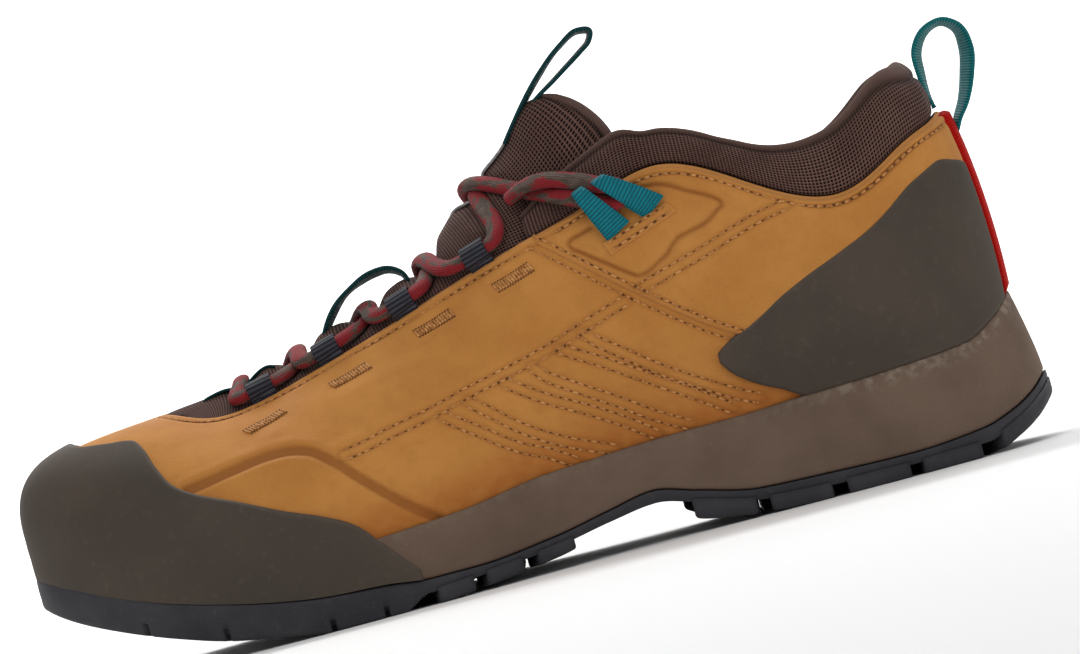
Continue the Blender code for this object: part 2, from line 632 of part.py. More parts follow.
def make_collar(finish, home):
    """Padded cuff: it stands on the top line and runs down inside the leather."""
    sections = stations(-COLLAR_END, COLLAR_END)
    top = wall(sections, 1.0)
    _, up, out = wall_frame(sections, 0.985)
    height = from_table(COLLAR, "height", sections)
    thick = from_table(COLLAR, "thick", sections)
    foot = from_table(COLLAR, "foot", sections)
    belly = from_table(COLLAR, "belly", sections)
    depth = np.interp(np.abs(sections), (4.5, COLLAR_END), (COLLAR_DEPTH, 6.0))
    inside = -(WALL + 2 * GAP)
    # One cross section: outwards and upwards from the top line
    profile = (
        (inside - 1.2, -depth), (inside - 0.6, -0.5 * depth), (inside, 0.5), (foot, 0.9 + 0 * foot),
        (belly, 0.4 * height), (belly - 0.1 * thick, 0.8 * height), (belly - 0.5 * thick, height),
        (belly - 0.95 * thick, 0.82 * height), (inside - thick, 0.3 * height),
        (inside - thick, -0.45 * depth), (inside - 0.5 * thick, -depth),
    )
    rings = [top + np.broadcast_to(o, sections.shape)[:, None] * out
             + np.broadcast_to(u, sections.shape)[:, None] * up for o, u in profile]
    return tube("collar", np.stack(rings, 1), finish, home)


SHOULDER = 0.72           # place of the tongue's shoulder, where its edge is 1


def tongue_face():
    """Front face of the tongue: one row of points across it for each row of its table."""
    across = np.linspace(-1, 1, 11)
    rows = []
    for k in range(len(TONGUE_ROWS["section"])):
        row = {name: values[k] for name, values in TONGUE_ROWS.items()}
        knots = []
        for section in (row["section"], TURN - row["section"]):
            _, up, out = wall_frame(section, 0.985)
            edge = wall(section, 1.0)
            shoulder = edge + row["above"] * up - row["inside"] * out
            knots.append((off_wall(section, row["tuck"], -row["inside"]) + row["above"] * up, shoulder))
        crest = np.array([row["crest_x"], 0.0, row["crest_z"]])
        (low_a, high_a), (low_b, high_b) = knots
        points = np.array([low_a, high_a, crest, high_b, low_b])
        at = np.array([-1.0, -SHOULDER, 0.0, SHOULDER, 1.0])
        swell = row["bulge"] * np.sin(math.pi * np.minimum(np.abs(across) / SHOULDER, 1.0))
        rows.append(natural_curve(at, points, across) + swell[:, None] * BULGE_WAY)
    return np.array(rows)


def natural_curve(at, points, across):
    """Smooth curve through a few points, straight at its ends."""
    count = len(at)
    step = np.diff(at)
    system = np.eye(count)
    right = np.zeros((count, 3))
    for k in range(1, count - 1):
        system[k, k - 1:k + 2] = step[k - 1], 2 * (step[k - 1] + step[k]), step[k]
        right[k] = 6 * ((points[k + 1] - points[k]) / step[k] - (points[k] - points[k - 1]) / step[k - 1])
    bend = np.linalg.solve(system, right)
    k = np.clip(np.searchsorted(at, across, side="right") - 1, 0, count - 2)
    a, b = (at[k + 1] - across)[:, None], (across - at[k])[:, None]
    h = step[k][:, None]
    return ((bend[k] * a ** 3 + bend[k + 1] * b ** 3) / (6 * h) + (points[k] / h - bend[k] * h / 6) * a
            + (points[k + 1] / h - bend[k + 1] * h / 6) * b)


def make_tongue(finish, home):
    face = tongue_face()
    out = grid_normals(face, False)
    if out[5, 5, 2] < 0:
        out = -out
    thick = TONGUE_ROWS["thick"][:, None, None] * np.ones((1, face.shape[1], 1))
    return shell("tongue", face, face - thick * out, False, finish, home)


def make_strap(name, route, finish, home, tilt=0.0):
    """Woven strap along a route in the middle plane, its width across the shoe and a little tilted."""
    path = smooth_path([(x, 0.0, z) for x, z in route], STRAP_POINTS)
    along = np.gradient(path, axis=0)
    along /= np.linalg.norm(along, axis=1, keepdims=True)
    across = np.array([[0.0, 1.0, 0.0]])
    normal = np.stack([along[:, 2], 0 * along[:, 0], -along[:, 0]], -1)
    turn = tilt * np.sin(np.linspace(0, math.pi, STRAP_POINTS))[:, None]
    side = np.cos(turn) * across + np.sin(turn) * normal
    face = np.cos(turn) * normal - np.sin(turn) * across
    side *= STRAP_WIDTH / 2
    face *= WEBBING / 2
    sections = [[p + s + f, p - s + f, p - s - f, p + s - f] for p, s, f in zip(path, side, face)]
    return tube(name, sections, finish, home)


def loop_frame(section):
    """Leather edge at a loop, and the directions along it towards the heel, up and outwards."""
    along, up, out = wall_frame(section, 0.985)
    heelwards = wall(section - 0.1, 1.0) - wall(section + 0.1, 1.0)
    if np.mod(section, TURN) > HALF:
        heelwards = -heelwards
    heelwards /= np.linalg.norm(heelwards)
    up = np.cross(out, heelwards)
    if up[2] < 0:
        up = -up
    return wall(section, 1.0), heelwards, up / np.linalg.norm(up), out


def make_lace_loop(name, section, reach, height, slack, tail, width, finish, home):
    """Folded webbing that holds the lace: an eye at reach above the leather's edge, and a flat tail."""
    edge, heelwards, up, out = loop_frame(section)
    inner = LACE / 2 + slack
    outer = inner + WEBBING
    angles = np.linspace(-math.pi, math.pi, 10, endpoint=False) + math.pi / 10
    hole = [(reach + inner * math.cos(a), height + inner * math.sin(a)) for a in angles]
    rim = [(reach + outer * math.cos(a), height + outer * math.sin(a)) for a in angles]
    rim[0], rim[-1] = tail
    rings = [[edge + u * up + o * out + side * heelwards for u, o in loop]
             for side, loop in ((-width / 2, hole), (-width / 2, rim), (width / 2, rim), (width / 2, hole))]
    return shell_ring(name, rings, finish, home)


def shell_ring(name, rings, finish, home):
    """Solid ring whose cross section runs through four closed loops of points."""
    rings = np.array(rings)
    rows, columns = rings.shape[:2]
    faces = quads(rows, columns, True)
    last = (rows - 1) * columns
    faces += [(last + c, last + (c + 1) % columns, (c + 1) % columns, c) for c in range(columns)]
    return mesh_object(name, rings.reshape(-1, 3), faces, finish, home)


def lace_eye(section, reach, height):
    """Middle of the lace in a loop, and the direction towards the heel there."""
    edge, heelwards, up, out = loop_frame(section)
    return edge + reach * up + height * out, heelwards


def over_tongue(row, across, lift):
    """Point over the tongue's face: row counts along it, across runs from -1 to 1."""
    face = tongue_face()
    out = grid_normals(face, False)
    r = min(int(row), len(face) - 2)
    place = (across + 1) / 2 * (face.shape[1] - 1)
    c = min(int(place), face.shape[1] - 2)
    u, v = row - r, place - c
    blend = ((1 - u) * (1 - v), (1 - u) * v, u * (1 - v), u * v)
    cells = ((r, c), (r, c + 1), (r + 1, c), (r + 1, c + 1))
    point = sum(b * face[cell] for b, cell in zip(blend, cells))
    away = sum(b * out[cell] for b, cell in zip(blend, cells))
    return point + lift * away / np.linalg.norm(away) * (1 if away[2] > 0 else -1)


# Rows of the tongue at which the lace crosses its middle, from the lowest bar to the highest crossing
LACE_BAR = 2.15
LACE_CROSSINGS = (3.45, 4.9, 6.3, 7.7)
UNDER = 1.0               # air under the lower strand where the strands cross
OVER = 3.4                # and under the upper one
HIGHEST_LIFT = 1.6        # more of it at the highest crossing, where the tongue bends up
EYE_RUN = (-7.2, -4.2, 4.2, 7.2)     # straight run of the lace through a dark loop, along the leather
# From the highest crossing the lace comes to the front here: row, across and lift over the tongue
LAST_TURN = (8.5, 0.42, LACE / 2 + 2.0)
# and then runs through the two top loops and back: section, reach and height as in lace_eye
TOP_RUN = (
    (TOP_LOOPS[1] + 0.2, TOP_REACH, TOP_HEIGHT), (TOP_LOOPS[1] - 0.12, TOP_REACH, TOP_HEIGHT),
    (TOP_LOOPS[0] + 0.12, TOP_REACH, TOP_HEIGHT), (TOP_LOOPS[0] - 0.14, TOP_REACH, TOP_HEIGHT),
    (5.45, 8.5, 4.2), (5.55, 13.0, 3.8), (5.95, 16.5, 3.4),
)


def lace_route(starts_outside, lift):
    """One strand of the lace, from the lowest bar to its end beyond the top loops."""
    outer_side = starts_outside
    route = [over_tongue(LACE_BAR, 0.0, LACE / 2 + UNDER)]
    for section, crossing in zip(LACE_LOOPS[::-1], LACE_CROSSINGS):
        eye, heelwards = lace_eye(TURN - section if outer_side else section, LOOP_REACH, LOOP_HEIGHT)
        route += [eye + step * heelwards for step in EYE_RUN]
        more = HIGHEST_LIFT if crossing == LACE_CROSSINGS[-1] else 0.0
        route.append(over_tongue(crossing, 0.0, lift + more))
        outer_side = not outer_side
    side = 1 if outer_side else -1
    row, across, last_lift = LAST_TURN
    route.append(over_tongue(row, side * across, last_lift))
    for section, reach, height in TOP_RUN:
        route.append(lace_eye(TURN - section if outer_side else section, reach, height)[0])
    return route


def make_lace(finish, home, cutters):
    """Both strands of the lace, which are one solid where they cross."""
    strands = []
    for starts_outside, lift, name, place in ((False, LACE / 2 + UNDER, "lace", home),
                                              (True, LACE / 2 + OVER, "lace_strand", cutters)):
        path = curve_through(lace_route(starts_outside, lift), 2)
        along = np.gradient(path, axis=0)
        along /= np.linalg.norm(along, axis=1, keepdims=True)
        side = np.cross(along, np.array([0.0, 0.0, 1.0]))
        side /= np.linalg.norm(side, axis=1, keepdims=True)
        over = np.cross(side, along)
        turns = np.linspace(0, 2 * math.pi, 7)[:-1]
        sections = [[p + LACE / 2 * (math.cos(t) * s + math.sin(t) * o) for t in turns]
                    for p, s, o in zip(path, side, over)]
        strands.append(tube(name, sections, finish, place))
    unite(strands[0], strands[1:])
    return strands[0]


def main():
    for item in list(bpy.data.objects):
        bpy.data.objects.remove(item)
    home = collection("approach_shoe")
    cutters = collection("cutters", hidden=True)
    leather = material("tan_leather", (0.51, 0.22, 0.055), 0.7)
    panel = material("tan_panel", (0.55, 0.25, 0.065), 0.7)
    rand = material("brown_rubber", (0.07, 0.054, 0.04), 0.75)
    foam = material("brown_foam", (0.14, 0.102, 0.077), 0.8)
    tread = material("black_rubber", (0.026, 0.025, 0.03), 0.7)
    mesh = material("brown_mesh", (0.062, 0.032, 0.023), 0.9)
    teal = material("teal_webbing", (0.0, 0.22, 0.26), 0.7)
    dark = material("dark_webbing", (0.032, 0.032, 0.045), 0.7)
    red = material("red_tape", (0.4, 0.01, 0.006), 0.6)
    cord = material("red_lace", (0.4, 0.02, 0.03), 0.8)
    footbed = material("footbed", (0.05, 0.05, 0.055), 0.9)

    make_outsole(tread, home, cutters)
    make_midsole(foam, home)
    make_insole(footbed, home)
    make_upper(leather, home)
    make_toe_rand(rand, home)
    make_heel_strip(red, home)
    for side, outer_side in (("inner", False), ("outer", True)):
        make_heel_rand(f"heel_rand_{side}", outer_side, rand, home)
        make_panel(f"quarter_{side}", outer_side, panel, home)
        for number, section in enumerate(LACE_LOOPS, 1):
            here = TURN - section if outer_side else section
            make_lace_loop(f"lace_loop_{side}_{number}", here, LOOP_REACH, LOOP_HEIGHT, LOOP_SLACK,
                           LOOP_TAIL, LOOP_WIDTH, dark, home)
        for number, section in enumerate(TOP_LOOPS, 1):
            here = TURN - section if outer_side else section
            make_lace_loop(f"top_loop_{side}_{number}", here, TOP_REACH, TOP_HEIGHT, TOP_SLACK,
                           TOP_TAIL, TOP_WIDTH, teal, home)
    make_collar(mesh, home)
    make_tongue(mesh, home)
    make_strap("heel_pull_loop", HEEL_LOOP, teal, home, tilt=HEEL_LOOP_TILT)
    make_strap("tongue_pull_loop", TONGUE_LOOP, teal, home)
    make_strap("tongue_keeper", KEEPER_LOOP, teal, home, tilt=KEEPER_TILT)
    make_lace(cord, home, cutters)


main()
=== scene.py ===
"""The looks of a low approach shoe: brushed leather, moulded rubber and foam, knitted mesh, webbing and lace.

Sizes are in millimetres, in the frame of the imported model. Every leather and rubber piece lies on one
wall function, which gives the shoe's last from its tables.
"""
import math

import bmesh
import bpy
import numpy as np
from mathutils import Matrix, Vector


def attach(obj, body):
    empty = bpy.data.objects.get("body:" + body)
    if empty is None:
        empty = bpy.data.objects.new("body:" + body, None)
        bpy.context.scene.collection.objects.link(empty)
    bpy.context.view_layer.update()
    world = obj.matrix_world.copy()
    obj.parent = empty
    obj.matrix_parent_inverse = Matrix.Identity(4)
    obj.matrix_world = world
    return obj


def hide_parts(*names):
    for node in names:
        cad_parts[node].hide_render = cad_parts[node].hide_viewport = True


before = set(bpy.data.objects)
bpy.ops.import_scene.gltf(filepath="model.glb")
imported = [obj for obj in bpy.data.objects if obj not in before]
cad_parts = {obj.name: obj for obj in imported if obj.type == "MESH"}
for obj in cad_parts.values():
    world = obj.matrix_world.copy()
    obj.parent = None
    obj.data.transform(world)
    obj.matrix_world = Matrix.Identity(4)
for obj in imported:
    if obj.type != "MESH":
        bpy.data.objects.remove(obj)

MM = 0.001                # model units are metres, the tables are in millimetres

# Driving sizes in millimetres
WALL = 2.0                # leather with its lining
GAP = 0.3                 # air between touching pieces
RAND = 2.5                # rubber round the toe, with the air under it
RAND_GAP = 0.7            # air under the toe rubber, which curves both ways
OVERLAY_GAP = 0.7         # air under the pieces laid over the quarter
HEEL_RAND = 1.6           # rubber round the heel
PANEL = 1.0               # leather laid over the quarter
STRIP = 1.0               # tape down the heel seam
LIP = 2.0                 # midsole rim outside the leather
INSOLE = 4.0
BAND = 13.0               # width of the smooth edge under the toe
LUG_OUT = -0.7            # the edge lugs stand this far outside the sole's edge
LUG_IN = 12.5             # and reach this far inside it
COLLAR_DEPTH = 15.0       # padding that runs down inside the leather
WEBBING = 1.2             # thickness of every woven strap
LOOP_WIDTH = 8.0
LACE = 5.6                # lace diameter
BED_INSET = 14.0          # from the sole's edge to the flat of the midsole's bed
NEAR_EDGE = 0.985         # share of the wall at which directions near the top line are taken
SUNK = 0.4                # the backs of pieces laid on the leather lie this far inside its face
MIDDLE = np.array([2.446, -0.29, 0.0])   # middle of the whole shoe in plan, which is put at the origin


def named_columns(names, rows):
    """A table as one array for each named column."""
    return dict(zip(names.split(), np.array(rows, dtype=float).T))


# The last: one row for each section, from the heel to the toe. x, inner and outer give the sole's
# edge. edge_x to edge_outer give the top line that the same section reaches. The wall between them
# starts upwards by rise and outwards by lean, and arrives from reach outside and drop below.
# inset is how far the leather stands inside the sole's edge.
LAST = named_columns(
    "x      inner outer edge_x edge_z edge_inner edge_outer rise lean reach drop inset", (
    (150.6,   0.0,  0.0, 139.7, 100.3,       0.0,       0.0,  24, 3.5,    4,  16, 8.0),
    (144.5,  19.0, 19.0, 135.6,  97.6,      16.0,      16.0,  24, 3.5,    4,  16, 7.5),
    (129.0,  32.0, 32.5, 123.5,  92.4,      27.0,      27.5,  24, 4.5,    3,  17, 6.5),
    (106.0,  38.0, 39.0, 104.0,  84.0,      31.5,      32.5,  22, 5.5,    1,  17, 6.5),
    ( 80.0,  37.5, 39.5,  81.0,  92.6,      32.5,      33.5,  24, 6.5,    1,  18, 6.0),
    ( 54.0,  35.5, 40.5,  56.0, 105.3,      31.5,      33.0,  28, 7.5,    3,  20, 5.5),
    ( 28.0,  35.0, 43.5,  30.0,  98.9,      28.3,      30.8,  28, 7.0,    7,  18, 5.0),
    (  2.0,  39.5, 48.0,   3.0,  91.6,      23.0,      25.5,  27, 5.0,    9,  15, 4.5),
    (-24.0,  47.0, 52.5, -22.0,  83.6,      18.3,      20.8,  25, 3.5,   14,  13, 4.0),
    (-50.0,  53.0, 54.5, -46.0,  76.2,      15.6,      17.4,  23, 3.0,   20,  11, 3.6),
    (-76.0,  55.5, 54.0, -68.0,  70.0,      14.8,      16.2,  22, 3.0,   23,   9, 3.4),
    (-101.0, 52.0, 48.5, -84.5,  67.4,      14.2,      15.2,  22, 3.0,   24,   6, 3.4),
    (-124.0, 42.0, 37.0, -94.5,  69.4,      11.5,      11.5,  23, 3.2,   28,   3, 3.4),
    (-142.4, 25.0, 19.5, -99.5,  71.7,       6.0,       5.6,  25, 3.6,   34,   2, 3.4),
    (-150.6,  3.5, -3.5, -101.0, 72.3,       0.0,       0.0,  26, 4.0,   39,   2, 3.4),
))

# The sole: heights along the shoe. tread is the lowest point, sheet the outsole's underside between
# its lugs, joint the line between outsole and midsole, bed the top of the midsole inside the shoe,
# and rim the visible top of the midsole outside it.
SOLE = named_columns(
    "x      tread sheet joint   bed   rim", (
    (-155.0, 29.0, 31.5, 37.5, 43.5, 44.1),
    (-141.0, 20.7, 24.0, 31.4, 38.4, 39.0),
    (-128.0, 15.0, 18.6, 25.7, 33.6, 34.2),
    (-112.0,  9.2, 13.0, 19.8, 28.4, 29.0),
    (-96.0,   4.6,  8.5, 15.3, 24.6, 25.2),
    (-80.0,   1.9,  5.7, 11.8, 22.0, 22.6),
    (-67.0,   0.0,  4.0,  9.9, 20.8, 21.4),
    (-50.0,   0.0,  3.8,  8.9, 20.0, 22.0),
    (-38.0,   0.0,  3.6,  7.4, 19.9, 22.7),
    (-24.0,   1.1,  4.5,  7.3, 20.4, 23.7),
    (0.0,     3.9,  6.8,  9.6, 23.2, 27.2),
    (16.0,    8.0,  9.6, 12.6, 24.6, 28.1),
    (30.0,   11.0, 11.4, 15.0, 25.4, 28.8),
    (42.0,    3.6,  8.6, 12.0, 26.0, 29.1),
    (60.0,    0.9,  4.6,  7.9, 26.8, 29.3),
    (76.0,    0.0,  3.6,  7.2, 27.4, 30.1),
    (105.0,   0.0,  3.4,  6.5, 28.0, 31.2),
    (127.0,   0.0,  3.9,  8.1, 28.4, 33.0),
    (137.0,   3.4,  7.2, 11.0, 28.8, 38.6),
    (144.0,   7.0, 10.6, 14.4, 29.2, 44.8),
    (151.0,  12.5, 16.0, 19.6, 29.4, 46.5),
))

HALF = len(LAST["x"]) - 1   # sections from the heel to the toe
TURN = 2 * HALF             # sections all round the shoe


def round_shoe(inner, outer):
    """Values from the heel along the inner side to the toe, and back along the outer side."""
    return np.concatenate([inner, outer[-2:0:-1]])


def on_side(section, outer_side):
    """A section of the inner side, or the one that mirrors it."""
    return TURN - section if outer_side else section


def hermite(t, step, start, end, slope_start, slope_end):
    """The cubic between two values with given slopes, at the share t of the step between them."""
    return ((1 + 2 * t) * (1 - t) ** 2 * start + t * (1 - t) ** 2 * step * slope_start
            + t * t * (3 - 2 * t) * end - t * t * (1 - t) * step * slope_end)


def closed_curve(values):
    """The smooth closed curve through evenly spaced values, as a function of the section."""
    count = len(values)
    unit = np.eye(count)
    system = 4 * unit + np.roll(unit, 1, 0) + np.roll(unit, -1, 0)
    slopes = np.linalg.solve(system, 3 * (np.roll(values, -1) - np.roll(values, 1)))

    def at(section):
        low = np.floor(section).astype(int)
        t = section - low
        a, b = low % count, (low + 1) % count
        return hermite(t, 1.0, values[a], values[b], slopes[a], slopes[b])
    return at


LAST_CURVES = {name: closed_curve(round_shoe(LAST[name], LAST[name]))
               for name in ("x", "edge_x", "edge_z", "rise", "lean", "reach", "drop", "inset")}
LAST_CURVES["y"] = closed_curve(round_shoe(-LAST["inner"], LAST["outer"]))
LAST_CURVES["edge_y"] = closed_curve(round_shoe(-LAST["edge_inner"], LAST["edge_outer"]))


def level(xs, ys, x):
    """Height at x on the smooth line through a table, which never overshoots its rows."""
    steps = np.diff(xs)
    rates = np.diff(ys) / steps
    slopes = np.zeros(len(xs))
    same_way = rates[:-1] * rates[1:] > 0
    slopes[1:-1][same_way] = (2 * rates[:-1] * rates[1:] / (rates[:-1] + rates[1:] + 1e-12))[same_way]
    slopes[0], slopes[-1] = rates[0], rates[-1]
    x = np.clip(x, xs[0], xs[-1])
    k = np.clip(np.searchsorted(xs, x, side="right") - 1, 0, len(steps) - 1)
    t = (x - xs[k]) / steps[k]
    return hermite(t, steps[k], ys[k], ys[k + 1], slopes[k], slopes[k + 1])


def sole_level(name, x):
    return level(SOLE["x"], SOLE[name], x)


def sole_edge(section, inset):
    """Point in plan on the sole's edge, moved inwards by inset."""
    x, y = LAST_CURVES["x"], LAST_CURVES["y"]
    step = 0.01
    along = np.stack([x(section + step) - x(section - step), y(section + step) - y(section - step)], -1)
    along /= np.linalg.norm(along, axis=-1, keepdims=True)
    outwards = np.stack([-along[..., 1], along[..., 0]], -1)
    place = np.stack([x(section), y(section)], -1)
    return place - np.asarray(inset)[..., None] * outwards, outwards


def matched(section, share):
    """Both as arrays of one shape."""
    return np.broadcast_arrays(np.asarray(section, float), np.asarray(share, float))


def wall(section, share):
    """Point on the leather's outer face, share 0 on the midsole and 1 at the top line."""
    section, share = matched(section, share)
    curves = {name: curve(section) for name, curve in LAST_CURVES.items()}
    foot, outwards = sole_edge(section, curves["inset"])
    foot = np.stack([foot[..., 0], foot[..., 1], sole_level("bed", foot[..., 0]) + GAP], -1)
    edge = np.stack([curves["edge_x"], curves["edge_y"], curves["edge_z"]], -1)
    out = np.stack([outwards[..., 0], outwards[..., 1], np.zeros(section.shape)], -1)
    up = np.array([0.0, 0.0, 1.0])
    first = foot + curves["rise"][..., None] * up + curves["lean"][..., None] * out
    last = edge - curves["drop"][..., None] * up + curves["reach"][..., None] * out
    t = share[..., None]
    return (1 - t) ** 3 * foot + 3 * t * (1 - t) ** 2 * first + 3 * t * t * (1 - t) * last + t ** 3 * edge


def wall_frame(section, share):
    """Directions on the leather: along it towards the toe, up it, and outwards."""
    step = 0.004
    along = wall(section + step, share) - wall(section - step, share)
    up = wall(section, share + step) - wall(section, share - step)
    out = np.cross(up, along)
    return [v / np.linalg.norm(v, axis=-1, keepdims=True) for v in (along, up, out)]


def off_wall(section, share, distance):
    """Point at a distance outside the leather's outer face."""
    section, share = matched(section, share)
    return wall(section, share) + np.asarray(distance)[..., None] * wall_frame(section, share)[2]


def share_at_height(section, height):
    """Share of the wall, below its shoulder, at which it reaches a height."""
    low, high = np.zeros(np.shape(section)), np.full(np.shape(section), 0.95)
    for _ in range(30):
        middle = (low + high) / 2
        below = wall(section, middle)[..., 2] < height
        low, high = np.where(below, middle, low), np.where(below, high, middle)
    return (low + high) / 2


# Edges of the pieces laid over the leather, as the share of the wall that they reach at a section.
# The inner side is listed, and the outer side mirrors it.
TOE_RAND_EDGE = named_columns(
    "section share", (
    (8.6, -0.80), (8.8, -0.35), (9.0, 0.02), (9.5, 0.17), (10.0, 0.25), (10.5, 0.33), (11.0, 0.39),
    (11.3, 0.44), (11.6, 0.54), (12.0, 0.667), (12.3, 0.715), (12.7, 0.68), (13.2, 0.65), (14.0, 0.69),
))
HEEL_RAND_EDGE = named_columns(
    "section top bottom", (
    (0.0, 0.66, 0.0), (0.5, 0.68, 0.0), (1.0, 0.747, 0.0), (1.5, 0.805, 0.0), (2.0, 0.805, 0.0),
    (2.5, 0.772, 0.0), (3.0, 0.717, 0.0), (3.5, 0.602, 0.0), (4.0, 0.451, 0.0), (4.25, 0.378, 0.05),
    (4.5, 0.316, 0.095), (4.75, 0.263, 0.155), (4.86, 0.235, 0.2),
))

# The padded collar: how far it stands above the top line, its thickness, and how far its foot and
# its belly lie outside the leather's face.
COLLAR = named_columns(
    "section height thick foot belly", (
    (0.0, 18.4, 8.0, -2.0, -1.3), (0.6, 19.4, 8.0, -1.6, -0.6), (1.0, 20.0, 8.0, -0.8, 0.5),
    (2.0, 22.0, 7.6, -0.6, 0.8), (3.0, 19.0, 7.0, -0.6, 0.8), (4.0, 12.8, 6.4, -0.6, 0.8),
    (5.0, 11.0, 5.0, -0.6, -0.1), (5.5, 15.0, 4.0, -0.8, -0.7), (6.0, 14.6, 3.2, -0.8, -0.7),
    (6.3, 12.6, 2.8, -0.8, -0.8), (6.6, 9.0, 2.4, -0.8, -0.8),
))
COLLAR_END = 6.6

# The tongue: rows from the toe end to the top. crest is its middle line, section the wall section at
# its edges, inside how far it lies within the leather there, above how far over the top line its
# shoulder is, tuck the share of the wall that its edges reach down to, thick its padding there, and
# bulge how far it swells forwards on both sides of its middle.
TONGUE_ROWS = named_columns(
    "crest_x crest_z section inside above tuck thick bulge", (
    (-105.0,  67.6, 12.3, 2.7,  -1.0, 0.90, 2.5, 0.0),
    (-96.0,   69.2, 11.6, 2.7,  -0.5, 0.88, 3.0, 0.0),
    (-82.0,   70.4, 10.9, 2.7,   0.0, 0.86, 4.0, 0.0),
    (-66.0,   72.8,  9.9, 2.7,   0.0, 0.86, 5.0, 0.0),
    (-50.0,   77.6,  9.2, 2.7,   0.0, 0.86, 5.0, 0.0),
    (-34.0,   82.8,  8.5, 2.7,   0.0, 0.86, 5.0, 0.0),
    (-19.0,   89.2,  7.9, 2.8,   0.0, 0.86, 5.0, 0.0),
    (-6.0,    98.8,  7.3, 3.0,   0.0, 0.87, 5.0, 0.0),
    (5.0,    110.5,  6.8, 3.6,   0.0, 0.88, 5.5, 0.0),
    (15.0,   121.5,  6.3, 8.2,   1.0, 0.90, 6.0, 0.8),
    (23.0,   130.0,  5.9, 9.8,   6.0, 0.94, 6.0, 2.4),
    (29.0,   134.2,  5.5, 10.8,  15.0, 0.99, 5.0, 4.0),
))

# Woven loops that carry the lace, from the top of the throat down: their section on the inner side.
LACE_LOOPS = (7.15, 8.15, 9.18, 10.2)
LOOP_REACH = 2.9          # from the leather's edge to the lace in a dark loop
LOOP_HEIGHT = 2.7         # of the lace's middle over the leather's face there

# Places of the straps in the middle plane, x and z
HEEL_LOOP = ((138.8, 101.4), (137.8, 106.5), (137.5, 112.0), (138.0, 119.0), (141.5, 123.8), (147.2, 125.4),
             (150.9, 122.8), (152.2, 116.0), (150.6, 109.0), (147.6, 101.5), (144.3, 96.2), (143.2, 93.2))
TONGUE_LOOP = ((14.2, 123.3), (18.0, 127.9), (22.4, 133.1), (28.9, 140.0), (37.0, 146.8), (43.4, 149.9),
               (46.6, 149.0), (45.6, 146.4), (42.4, 144.0), (37.2, 140.6), (31.6, 137.0), (27.6, 134.6),
               (25.2, 133.0))
KEEPER_LOOP = ((-52.3, 79.2), (-50.4, 83.2), (-47.4, 87.6), (-43.6, 91.5), (-38.4, 94.6), (-32.8, 96.4),
               (-27.8, 96.4), (-24.4, 94.2), (-22.8, 90.4))


def foot_x(section):
    return wall(section, np.zeros(np.shape(section)))[..., 0]


def rim_share(section):
    """Share of the wall at which the midsole's rim ends."""
    return share_at_height(section, sole_level("rim", foot_x(section)))


def rim_lip(section):
    """Thickness of the midsole's rim, which thins out under the toe rubber."""
    return np.interp(foot_x(section), (-66.0, -40.0), (0.5, LIP))


def midsole_inset(x):
    return np.interp(x, (-66.0, -46.0, -36.0), (RAND + 0.6, 1.2, 0.4))


def midsole_foot(section):
    """Point on the midsole's lower edge."""
    plain, _ = sole_edge(section, 0.0 * section)
    edge, _ = sole_edge(section, midsole_inset(plain[..., 0]))
    return np.concatenate([edge, sole_level("joint", edge[..., :1]) + GAP], -1)


def skin(section, share):
    """Point on what shows: below 0 the side of the midsole, from 0 to 1 the leather above its rim."""
    section, share = matched(section, share)
    rim = rim_share(section)
    lip = rim_lip(section)
    on_leather = np.maximum(share, 0.0)
    fade = np.clip(1 - on_leather / 0.08, 0, 1)
    upper_part = off_wall(section, rim + on_leather * (1 - rim), lip * fade)
    drop = np.clip(-share, 0, 1)[..., None]
    return (1 - drop) * upper_part + drop * midsole_foot(section)


def grid_normals(grid, closed):
    """Outward directions on a grid whose rows go up and whose columns go towards the toe and round."""
    if closed:
        along = np.roll(grid, -1, 1) - np.roll(grid, 1, 1)
    else:
        along = np.gradient(grid, axis=1)
    up = np.gradient(grid, axis=0)
    out = np.cross(up, along)
    return out / np.maximum(np.linalg.norm(out, axis=-1, keepdims=True), 1e-9)


def curve_through(points, steps):
    """Points on a smooth curve through a route, a few for each stretch."""
    points = np.array(points, float)
    gaps = np.maximum(np.linalg.norm(np.diff(points, axis=0), axis=1), 1e-6)
    slopes = np.zeros_like(points)
    rates = np.diff(points, axis=0) / gaps[:, None]
    before, after = gaps[:-1, None], gaps[1:, None]
    slopes[1:-1] = (rates[:-1] * after + rates[1:] * before) / (before + after)
    slopes[0], slopes[-1] = rates[0], rates[-1]
    made = []
    for k, gap in enumerate(gaps):
        for t in np.linspace(0, 1, steps, endpoint=False):
            made.append(hermite(t, gap, points[k], points[k + 1], slopes[k], slopes[k + 1]))
    return np.array(made + [points[-1]])


def at_lengths(at, length, points):
    """Points of a line at distances from its start, where length gives those of its own points."""
    return np.stack([np.interp(at, length, points[:, k]) for k in range(points.shape[1])], -1)


def smooth_path(points, count):
    """Evenly spaced points on a smooth curve through a route."""
    fine = curve_through(points, 12)
    length = np.concatenate([[0], np.cumsum(np.linalg.norm(np.diff(fine, axis=0), axis=1))])
    return at_lengths(np.linspace(0, length[-1], count), length, fine)


def on_sole(edge, name, lift=0.0):
    """Points of an outline in plan, at a height from the sole's table."""
    return np.concatenate([edge, sole_level(name, edge[..., :1]) + lift], -1)


def section_at(x):
    """Section whose sole edge lies at x, on the inner side."""
    return float(np.interp(-x, -LAST["x"], np.arange(HALF + 1)))


# Lugs along the edge: where each starts and ends along the shoe.
EDGE_LUGS = ((-36.5, -26.0), (-22.0, -11.0), (-6.5, 4.5), (40.0, 58.0), (62.0, 80.0), (84.5, 103.0),
             (107.0, 124.0))
